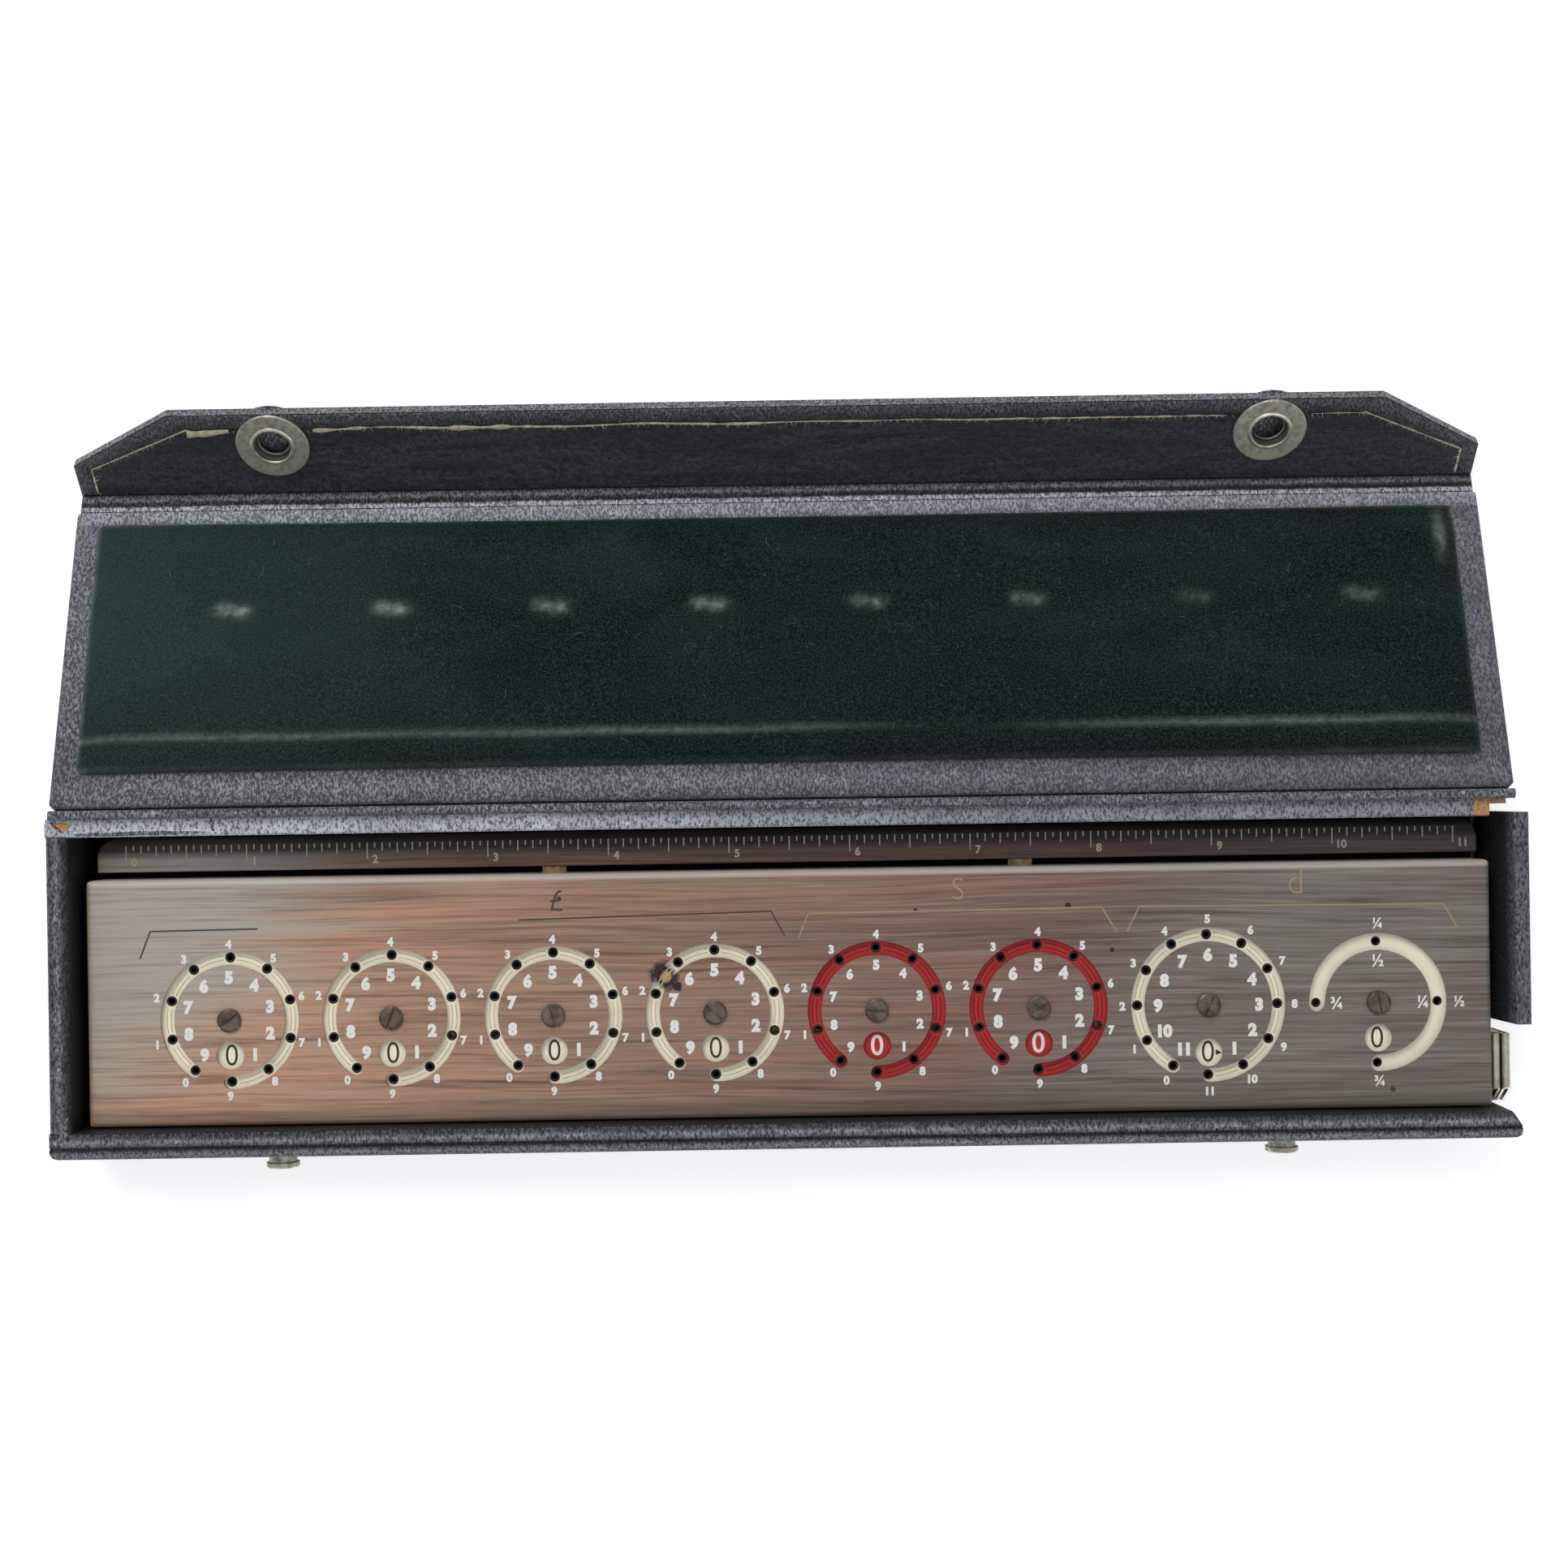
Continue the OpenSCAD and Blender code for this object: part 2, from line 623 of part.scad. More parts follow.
// Ring with a rolled inner lip, and the barrel that holds the spring
module snap_sockets() {
    lip = 0.3;
    color(nickel) at_snaps() rotate_extrude() {
        translate([hole_r, flap_in]) square([socket_r - hole_r - ring_t / 2, ring_t]);
        translate([socket_r - ring_t / 2, flap_in + ring_t / 2]) circle(ring_t / 2);
        translate([hole_r, flap_out]) square([0.5, flap_t + ring_t]);
        translate([hole_r, flap_out]) square([barrel_r - hole_r, 0.5]);
        translate([hole_r + lip, flap_in + ring_t]) circle(lip - 0.05);
    }
}

// Split ring that grips the stud's neck
module socket_springs() {
    wire_r = 0.3;
    ring_r = hole_r - wire_r - 0.15;
    color(steel) at_snaps() translate([0, 0, flap_out + 0.5 + wire_r + 0.1]) rotate(120)
        rotate_extrude(angle = 320) translate([ring_r, 0]) circle(wire_r);
}

// Domed caps behind the flap, covered like the case
module snap_caps() {
    color(leatherette) at_snaps() translate([0, 0, flap_out]) rotate([180, 0, 0])
        rotate_extrude() difference() {
            intersection() {
                translate([0, cap_h - dome_r()]) circle(dome_r());
                square([cap_r, cap_h]);
            }
            square([barrel_r - 0.6, cap_h - cap_skin]);
        }
}
function dome_r() = (pow(cap_r, 2) + pow(cap_h - 0.4, 2)) / (2 * (cap_h - 0.4));

// ---- Adder body ----

// Round-edged block open below: the outside of the face plate, or its hollow
module pan(x, y, top, r, corner) {
    intersection() {
        along_x(x[0], x[1]) arch(y, top, r, r);
        along_y(y[0], y[1]) arch(x, top, r, r);
        linear_extrude(top) round_rect(x, y, corner);
    }
}

module face_plate() {
    s = sheet_t;
    color(wood_print) difference() {
        pan([adder_x0, adder_x1], [adder_y0, adder_y1], face_z, fold_r, plan_r);
        translate([-far, -far, -1]) cube([2 * far, 2 * far, adder_z + 1]);
        pan([adder_x0 + s, adder_x1 - s], [adder_y0 + s, adder_y1 - s], under_z,
            fold_r - s, plan_r - s);
        for (k = [1:dial_count]) at_dial(k) translate([0, 0, under_z - 1]) linear_extrude(far) {
            arc_slot(slot_mid(k), slot_width(k), slot_start(k), bottom_hole);
            translate([0, window_y(k)]) circle(window_r);
            circle(screw_shank_r + 0.1);
        }
        translate([adder_x1 - 2, tail_y[0] - air, base_top - air])
            cube([3, tail_y[1] - tail_y[0] + 2 * air, bar_t + 3 * air]);
    }
}

module base_plate() {
    gap = sheet_t + 0.1;
    color(steel) translate([0, 0, adder_z]) linear_extrude(base_t) difference() {
        round_rect([adder_x0 + gap, adder_x1 - gap], [adder_y0 + gap, adder_y1 - gap], 0.6);
        for (k = [1:dial_count]) {
            translate([dial_x(k), dial_y]) circle(pivot_r - 0.5 + fit);
            translate([dial_x(k), dial_y]) rotate(notch_angle(k)) spring_post_place(k)
                circle(spring_post_r - 0.5 + fit);
        }
        for (k = [1:dial_count - 1]) translate([dial_x(k) + pinion_dx(k), dial_y + pinion_dy(k)])
            circle(pinion_pin_r - 0.4 + fit);
        for (x = guide_xs) translate([x, (bar_y0 + bar_y1) / 2]) circle(guide_r - 0.4 + fit);
    }
}

// The ruler ledge is one folded sheet: its top, front skirt, rear skirt and two ends
module ruler_ledge() {
    color(wood_print) ledge_sheet_in(ledge_x, ledge_y, [ledge_under, ledge_z]);
}

module ledge_front_skirt() {
    color(wood_print) ledge_sheet_in(ledge_x, [ledge_y0, ledge_skirt_y], [adder_z, ledge_under]);
}

module ledge_rear_skirt() {
    color(wood_print) ledge_sheet_in([ledge_x[0] + ledge_corner_r, ledge_x[1] - ledge_corner_r],
        [ledge_skirt_y, ledge_y1], [adder_z, ledge_under]);
}

module ledge_ends() {
    for (x = [[ledge_x[0], ledge_x[0] + ledge_corner_r], [ledge_x[1] - ledge_corner_r, ledge_x[1]]])
        color(wood_print) ledge_sheet_in(x, [ledge_skirt_y, ledge_y1], [adder_z, ledge_under]);
}

// What of the folded sheet lies in a box
module ledge_sheet_in(x, y, z) {
    s = ledge_sheet;
    intersection() {
        difference() {
            ledge_block(ledge_x, ledge_y, ledge_z, ledge_fold_r, ledge_corner_r);
            ledge_block([ledge_x[0] + s, ledge_x[1] - s], [ledge_y0 + s, ledge_y1 - s],
                ledge_under, ledge_fold_r - s, ledge_corner_r - s);
        }
        translate([x[0], y[0], z[0]]) cube([x[1] - x[0], y[1] - y[0], z[1] - z[0]]);
    }
}

// Block with a rounded upper rear edge and round rear corners
module ledge_block(x, y, top, fold, corner) {
    intersection() {
        along_x(x[0], x[1]) arch(y, top, 0.3, fold);
        along_y(y[0], y[1]) arch(x, top, 0.3, 0.3);
        linear_extrude(top) {
            translate([x[0], y[0]]) square([x[1] - x[0], y[1] - y[0] - corner]);
            translate([x[0] + corner, y[0]]) square([x[1] - x[0] - 2 * corner, y[1] - y[0]]);
            for (cx = [x[0] + corner, x[1] - corner]) translate([cx, y[1] - corner]) circle(corner);
        }
    }
}

// Angle lugs that tie the ledge to the face plate's rear wall
module ruler_lugs() {
    top = ledge_z - lug_drop;
    color(brass) for (x = lug_xs) along_x(x - lug_w / 2, x + lug_w / 2) {
        translate([adder_y1, top - lug_t]) square([ledge_gap, lug_t]);
        translate([adder_y1, top - lug_skirt]) square([lug_t, lug_skirt]);
    }
}

module wheel_screws() {
    color(bronze) for (k = [1:dial_count]) at_dial(k) {
        difference() {
            translate([0, 0, face_z]) union() {
                cylinder(r = screw_r, h = screw_head_h - 0.3);
                translate([0, 0, screw_head_h - 0.3])
                    cylinder(r1 = screw_r, r2 = screw_r - 0.4, h = 0.3);
            }
            rotate(35 * k) translate([-screw_r - 1, -screw_slot_w / 2, face_z + 0.35])
                cube([2 * screw_r + 2, screw_slot_w, screw_head_h]);
        }
        translate([0, 0, under_z - screw_len]) cylinder(r = screw_shank_r, h = screw_len + sheet_t);
    }
}

module pivot_posts() {
    color(steel) for (k = [1:dial_count]) at_dial(k) difference() {
        union() {
            translate([0, 0, adder_z]) cylinder(r = pivot_r - 0.5, h = base_t);
            translate([0, 0, base_top]) cylinder(r = pivot_r + 1, h = hub_z - base_top - 0.2);
            translate([0, 0, base_top]) cylinder(r = pivot_r, h = under_z - base_top);
        }
        translate([0, 0, under_z - screw_len - 0.2])
            cylinder(r = screw_shank_r + fit, h = screw_len + 1);
    }
}

module pinion_pins() {
    color(steel) for (k = [1:dial_count - 1]) at_pinion(k) {
        translate([0, 0, adder_z]) cylinder(r = pinion_pin_r - 0.4, h = base_t);
        translate([0, 0, base_top]) cylinder(r = clip_r, h = pinion_z0(k) - base_top - 0.2);
        translate([0, 0, base_top])
            cylinder(r = pinion_pin_r, h = pinion_z1(k) + 2 * clip_t - base_top);
    }
}

module pinion_clips() {
    color(steel) for (k = [1:dial_count - 1]) at_pinion(k) translate([0, 0, pinion_z1(k) + 0.2])
        difference() {
            cylinder(r = clip_r, h = clip_t);
            translate([0, 0, -1]) cylinder(r = pinion_pin_r + fit, h = clip_t + 2);
        }
}

module spring_post_place(k) {
    translate([spring_u(k) + spring_t + fit + spring_post_r, spring_side(k) * spring_len])
        children();
}

module detent_springs() {
    z = star_z + (star_t - spring_h) / 2;
    color(steel) for (k = [1:dial_count]) at_notch(k) translate([0, 0, z])
        linear_extrude(spring_h) {
            translate([spring_u(k), spring_side(k) > 0 ? 0 : -spring_len - 1])
                square([spring_t, spring_len + 1]);
            translate([spring_u(k) + 0.2 - nose_r, 0]) circle(nose_r);
        }
}

module spring_posts() {
    color(steel) for (k = [1:dial_count]) at_notch(k) spring_post_place(k) {
        translate([0, 0, adder_z]) cylinder(r = spring_post_r - 0.5, h = base_t);
        translate([0, 0, base_top]) cylinder(r = spring_post_r, h = star_z + star_t - base_top);
    }
}

// ---- Clearing bar ----

module bar_guides() {
    color(steel) for (x = guide_xs) translate([x, (bar_y0 + bar_y1) / 2, 0]) {
        translate([0, 0, adder_z]) cylinder(r = guide_r - 0.4, h = base_t);
        translate([0, 0, base_top]) cylinder(r = guide_r, h = bar_t + 2 * air);
        translate([0, 0, bar_z + bar_t + air]) cylinder(r = guide_head_r, h = 0.6);
    }
}

// Rail with a stop for each wheel; the arm and the tail lead round to the pull
module clear_bar() {
    color(steel) {
        translate([0, 0, bar_z]) linear_extrude(bar_t) difference() {
            union() {
                translate([dial_x(1) - rail_lead, bar_y0])
                    square([arm_x[1] - dial_x(1) + rail_lead, bar_y1 - bar_y0]);
                for (k = [1:dial_count])
                    translate([dial_x(k) + stop_x - stop_tab_w, dial_y + stop_y[0]])
                        square([stop_tab_w, bar_y0 - dial_y - stop_y[0] + 1]);
            }
            for (x = guide_xs) translate([x, (bar_y0 + bar_y1) / 2]) {
                translate([-clear_stroke, -guide_r - 0.1])
                    square([clear_stroke, 2 * guide_r + 0.2]);
                for (dx = [-clear_stroke, 0]) translate([dx, 0]) circle(guide_r + 0.1);
            }
        }
        for (k = [1:dial_count])
            translate([dial_x(k) + stop_x - stop_t, dial_y + stop_y[0], bar_z])
                cube([stop_t, stop_y[1] - stop_y[0], stop_top - bar_z]);
    }
}

module bar_arm() {
    color(steel) translate([arm_x[0], tail_y[0], bar_z]) cube([arm_w, bar_y0 - tail_y[0], bar_t]);
}

module bar_tail() {
    color(steel) translate([0, 0, bar_z]) linear_extrude(bar_t) difference() {
        translate([arm_x[1], tail_y[0]])
            square([pull_x0 + pull_w - pull_inset - arm_x[1], tail_w]);
        for (y = pull_rivet_ys()) translate([pull_x0 + pull_w / 2, y]) circle(rivet_hole_r);
    }
}

// Upright strip outline with a round top
module loop(r, h) {
    translate([-r, 0]) square([2 * r, h - r]);
    translate([0, h - r]) circle(r);
}

function pull_rivet_ys() = [tail_y[0] + 2.5, tail_y[1] - 2.5];

// Finger pull: one nickel strip folded into two upright loops
module clear_pull() {
    foot_z = bar_z + bar_t;
    half = (pull_w - pull_groove) / 2;
    top = pull_top - foot_z;
    color(nickel) difference() {
        translate([pull_x0, 0, foot_z]) along_y(pull_y[0], pull_y[1]) {
            for (x = [0, half + pull_groove]) translate([x + half / 2, 0]) difference() {
                loop(half / 2, top);
                translate([0, pull_sheet]) loop(half / 2 - pull_sheet, top - 2 * pull_sheet);
            }
            square([pull_w, pull_sheet]);
        }
        along_x(pull_x0 - 1, pull_x0 + pull_w + 1) polygon([
            [pull_y[0] - 1, pull_top + 1],
            [pull_y[0] - 1, pull_top - pull_chamfer[0] * (1 + 1 / pull_chamfer[1])],
            [pull_y[0], pull_top - pull_chamfer[0]],
            [pull_y[0] + pull_chamfer[1], pull_top], [pull_y[0] + pull_chamfer[1], pull_top + 1]]);
        for (y = pull_rivet_ys()) translate([pull_x0 + pull_w / 2, y, foot_z - 1])
            cylinder(r = rivet_hole_r, h = 1 + pull_sheet);
    }
}

module pull_rivets() {
    color(nickel) for (y = pull_rivet_ys()) translate([pull_x0 + pull_w / 2, y, 0]) {
        translate([0, 0, bar_z - 0.4]) cylinder(r = 1.2, h = 0.4);
        translate([0, 0, bar_z - 0.4]) cylinder(r = 0.7, h = 0.4 + bar_t + pull_sheet);
    }
}

// ---- Wheels ----

module number_wheel(k) {
    color(k == 5 || k == 6 ? red_enamel : cream) at_dial(k) translate([0, 0, disc_z])
        linear_extrude(number_wheel_t) difference() {
            circle(slot_outer(k) + disc_margin);
            circle(spigot_r + fit);
            for (i = [0:positions(k) - 1]) rotate(bottom_hole + i * 360 / positions(k))
                translate([slot_mid(k), 0]) circle(stylus_r);
        }
}

// Brass hub with its star wheel, carry finger and the pin that meets the clearing stop
module gear_wheel(k) {
    color(brass) at_dial(k) difference() {
        union() {
            translate([0, 0, hub_z]) cylinder(r = hub_r, h = disc_z - hub_z);
            translate([0, 0, hub_z]) cylinder(r = spigot_r, h = disc_top - hub_z);
            translate([0, 0, star_z]) linear_extrude(star_t)
                rotate(mesh_angle(k)) star(teeth(k), star_radii, star_halves);
            if (k > 1) translate([0, 0, finger_z(k)]) linear_extrude(level_t)
                rotate(finger_angle(k)) polygon([[0, -3], [0, 3],
                    [finger_r(k) - 1.5, 1.6], [finger_r(k), 0.6], [finger_r(k), -1]]);
            rotate(stop_pin_angle) translate([stop_pin_reach, 0, stop_pin_z])
                cylinder(r = stop_pin_r, h = star_z - stop_pin_z);
            rotate(stop_pin_angle) translate([0, -1.2, star_z - 1])
                cube([stop_pin_reach, 2.4, 1]);
        }
        translate([0, 0, hub_z - 1]) cylinder(r = pivot_r + fit, h = far);
    }
}

// At zero the carry finger has just left the next higher pinion
function finger_angle(k) = atan2(pinion_dy(k - 1), pinion_dx(k - 1) - dial_gap(k - 1)) - 30;

module carry_pinion(k) {
    color(brass) at_pinion(k) translate([0, 0, pinion_z0(k)])
        linear_extrude(pinion_z1(k) - pinion_z0(k)) difference() {
            rotate(mesh_angle(k) + 180 + 180 / pinion_teeth)
                star(pinion_teeth, pinion_radii, pinion_halves);
            circle(pinion_pin_r + 0.1);
        }
}

case_bottom_board();
case_front_wall();
case_rear_wall();
case_left_wall();
tray_lining();
rear_hinge_cloth();
end_hinge_cloth();
right_end_wall();
snap_studs();
stud_rivets();
lid_board();
lid_pad();
flap_hinge_cloth();
flap_board();
snap_sockets();
socket_springs();
snap_caps();
face_plate();
base_plate();
ruler_ledge();
ledge_front_skirt();
ledge_rear_skirt();
ledge_ends();
ruler_lugs();
wheel_screws();
pivot_posts();
pinion_pins();
pinion_clips();
detent_springs();
spring_posts();
bar_guides();
clear_bar();
bar_arm();
bar_tail();
clear_pull();
pull_rivets();
for (k = [1:dial_count])
    number_wheel(k);
for (k = [1:dial_count])
    gear_wheel(k);
for (k = [1:dial_count - 1])
    carry_pinion(k);
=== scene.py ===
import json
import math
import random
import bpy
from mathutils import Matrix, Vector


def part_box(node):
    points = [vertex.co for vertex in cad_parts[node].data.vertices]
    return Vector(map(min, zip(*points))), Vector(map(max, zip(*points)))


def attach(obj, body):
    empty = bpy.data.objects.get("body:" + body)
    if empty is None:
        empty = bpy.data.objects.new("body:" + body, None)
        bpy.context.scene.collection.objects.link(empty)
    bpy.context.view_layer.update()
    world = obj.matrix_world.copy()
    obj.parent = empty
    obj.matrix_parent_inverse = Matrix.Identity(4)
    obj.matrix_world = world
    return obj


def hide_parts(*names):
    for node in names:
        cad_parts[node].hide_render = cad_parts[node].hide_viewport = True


bl_info = {
    "name": "Stylus Dial Adder in its Snap Case",
    "version": (1, 0, 0),
    "blender": (4, 5, 0),
    "location": "View3D > Sidebar > Dial Adder",
    "description": "Dresses the dial adder and its case with cloth, print, metal and wear",
    "category": "Object",
}

import bpy
from bpy.props import FloatProperty, FloatVectorProperty, IntProperty, PointerProperty
from mathutils import Euler, Matrix, Vector, noise

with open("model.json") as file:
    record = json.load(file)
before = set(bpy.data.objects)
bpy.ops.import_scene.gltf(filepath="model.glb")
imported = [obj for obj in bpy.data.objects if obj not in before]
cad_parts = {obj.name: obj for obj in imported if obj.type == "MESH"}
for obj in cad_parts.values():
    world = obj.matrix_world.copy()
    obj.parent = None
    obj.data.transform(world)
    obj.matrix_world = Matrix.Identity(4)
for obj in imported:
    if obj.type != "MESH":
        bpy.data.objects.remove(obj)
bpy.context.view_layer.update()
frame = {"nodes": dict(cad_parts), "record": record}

MM = 0.001
DIALS = range(1, 9)
PENCE, FARTHING, CHIPPED = 7, 8, 4
RED_DIALS = (5, 6)
HOLES = {k: 10 for k in DIALS} | {PENCE: 12, FARTHING: 4}
HOLE_REACH = {k: 0.01295 for k in DIALS} | {PENCE: 0.0146, FARTHING: 0.01265}
FILM = -0.00001, 0.00002             # underside and top of a printed film
HINGES = {joint["name"]: joint for joint in frame["record"]["behaviour"]["joints"]}


def tint(red, green, blue):
    """A screen colour from 0 to 255 as the linear colour that the shaders use."""
    def straight(value):
        value /= 255
        return value / 12.92 if value <= 0.04045 else ((value + 0.055) / 1.055) ** 2.4
    return straight(red), straight(green), straight(blue), 1.0


def hinge_point(name):
    return Vector(HINGES[name]["pos_m"])


# ---- Places taken from the frame ----

LID_SLOPE = math.radians(-HINGES["lid_hinge"]["range_deg"][0] - 180)
LID_PLACE = Matrix.Translation(hinge_point("lid_hinge")) @ Matrix.Rotation(-LID_SLOPE, 4, "X")
FLAP_REACH = (hinge_point("flap_hinge") - hinge_point("lid_hinge")).length
FLAP_FOLD = math.radians(90 + HINGES["flap_hinge"]["range_deg"][0])
FLAP_PLACE = (LID_PLACE @ Matrix.Translation((0, FLAP_REACH, 0))
              @ Matrix.Rotation(FLAP_FOLD, 4, "X"))
DIAL_CENTRES = {k: Vector(HINGES[f"dial_{k}_turn"]["pos_m"][:2]) for k in DIALS}
CHIP = DIAL_CENTRES[CHIPPED] + Vector((-0.0102, 0.0074))
FACE_LOW, FACE_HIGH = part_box("face_plate")
LEDGE_LOW, LEDGE_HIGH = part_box("ruler_ledge")
FRONT_LOW, FRONT_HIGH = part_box("case_front_wall")
REAR_LOW, REAR_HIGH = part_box("case_rear_wall")
SIDE_LOW, SIDE_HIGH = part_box("case_left_wall")


def corners(points):
    """The low and the high corner of the box round some points."""
    return [Vector(pick(p[axis] for p in points) for axis in range(3)) for pick in (min, max)]


def local_box(node, place):
    """Corners of a CAD node's box in a tilted place's own axes."""
    back = place.inverted()
    return corners([back @ v.co for v in frame["nodes"][node].data.vertices])


def socket_middles():
    """Middles of the two snap sockets in the flap's own axes."""
    low, high = local_box("snap_sockets", FLAP_PLACE)
    reach = (high.y - low.y) / 2
    return [Vector((x, low.y + reach)) for x in (low.x + reach, high.x - reach)]


PAD_LOW, PAD_HIGH = local_box("lid_pad", LID_PLACE)
FLAP_LOW, FLAP_HIGH = local_box("flap_board", FLAP_PLACE)
SOCKETS = socket_middles()


# ---- Settings ----

def shade(name, description, *value):
    """A colour setting; its value is a screen colour from 0 to 255."""
    return FloatVectorProperty(name=name, description=description, subtype="COLOR",
                               size=4, min=0, max=1, default=tint(*value))


def length(name, description, low, high, value):
    """A length setting in millimetres."""
    return FloatProperty(name=name, description=description, subtype="DISTANCE",
                         unit="LENGTH", min=low * MM, max=high * MM, default=value * MM)


def power(name, description, value):
    return FloatProperty(name=name, description=description, subtype="POWER", unit="POWER",
                         min=0, max=60, default=value)


class CaseSettings(bpy.types.PropertyGroup):
    # Pebble colours: partly the covering's own grain and wear, partly painted highlight on the tops
    # and painted shade in the valleys.
    leather_deep: shade(
        "Leatherette valleys", "Colour between the pebbles of the covering cloth", 40, 42, 47)
    leather_top: shade("Leatherette pebbles", "Colour on top of the pebbles", 118, 122, 126)
    leather_worn: shade(
        "Leatherette wear", "Colour where the pebbles are rubbed pale", 182, 183, 186)
    pebble_size: length("Pebble size", "Width of one pebble of the covering's grain", 0.3, 3, 0.9)
    flap_cloth: shade("Flap lining", "Colour of the dark cloth inside the flap", 54, 60, 67)
    thread_colour: shade(
        "Torn edge", "Colour of the pale torn backing along the flap", 205, 198, 172)
    board_colour: shade(
        "Bare board", "Colour of the strawboard where the covering is rubbed off", 208, 160, 104)
    hem_width: length("Hem width", "Width of the covering turned in round the flap", 1, 6, 3.4)


class PadSettings(bpy.types.PropertyGroup):
    velvet_deep: shade("Velvet", "Colour of the pile seen from above", 9, 19, 18)
    velvet_brushed: shade(
        "Brushed velvet", "Colour where the pile is brushed the other way", 34, 50, 47)
    velvet_crushed: shade(
        "Crushed velvet", "Colour along the crease and where screws press in", 152, 166, 154)
    crease_depth: length("Crease depth", "Depth of the long crease", 0, 2, 0.5)
    dent_depth: length("Dent depth", "Depth of the dents left by the dial screws", 0, 1, 0.3)
    lint_count: IntProperty(
        name="Lint", description="How many loose fibres lie on the velvet",
        min=0, max=1200, default=520)
    pressure: FloatProperty(
        name="Filling pressure", description="Pressure that blows the cushion up in the simulation",
        min=0, max=20, default=4.0)
    swell_limit: length(
        "Swelling limit", "Farthest that a point of the cushion may move", 0, 3, 1.1)


class AdderSettings(bpy.types.PropertyGroup):
    # The pale tan on the left is partly the print's colour and partly painted sheen.
    grain_tan: shade(
        "Grain, tan", "Pale colour of the printed wood grain on the left", 174, 166, 154)
    grain_orange: shade(
        "Grain, orange brown", "Warm colour of the printed wood grain", 196, 155, 126)
    grain_red: shade("Grain, red brown", "Deeper warm colour past the middle", 136, 108, 95)
    grain_grey: shade(
        "Grain, grey", "Dark grey of the printed wood grain on the right", 125, 120, 111)
    grain_dark: shade("Grain, dark", "Dark streaks of the printed wood grain", 74, 54, 46)
    cream: shade("Cream enamel", "Colour of the cream number wheels", 255, 247, 220)
    red: shade("Red enamel", "Colour of the shillings wheels", 188, 46, 46)
    ink: shade("White print", "Colour of the digits on the face", 236, 234, 228)
    gilt: shade("Gilt print", "Colour of the brackets and column marks", 158, 140, 104)
    outer_digit: length("Outer digits", "Height of the digits outside the slots", 1, 3, 1.9)
    inner_digit: length("Inner digits", "Height of the digits inside the slots", 1, 4, 2.8)
    wheel_digit: length("Wheel digits", "Height of the digits on the number wheels", 2, 5, 4.4)


class StageSettings(bpy.types.PropertyGroup):
    floor_colour: FloatVectorProperty(
        name="Floor", description="Colour of the floor under the case",
        subtype="COLOR", size=4, min=0, max=1, default=(0.86, 0.86, 0.86, 1.0))
    key_power: power("Main light", "Power of the soft light above the rear left", 7)
    fill_power: power("Fill light", "Power of the soft light from the front", 2)
    camera_height: length(
        "Camera height", "Height of the camera above the table", 300, 1000, 476.4)
    camera_turn: FloatProperty(
        name="Camera turn", description="Turn of the camera about its own view",
        subtype="ANGLE", unit="ROTATION", min=-0.2, max=0.2, default=-0.0157)


# ---- Finishes ----

def dimmed(colour, share):
    return tuple(min(1.0, c * share) for c in colour[:3]) + (1.0,)


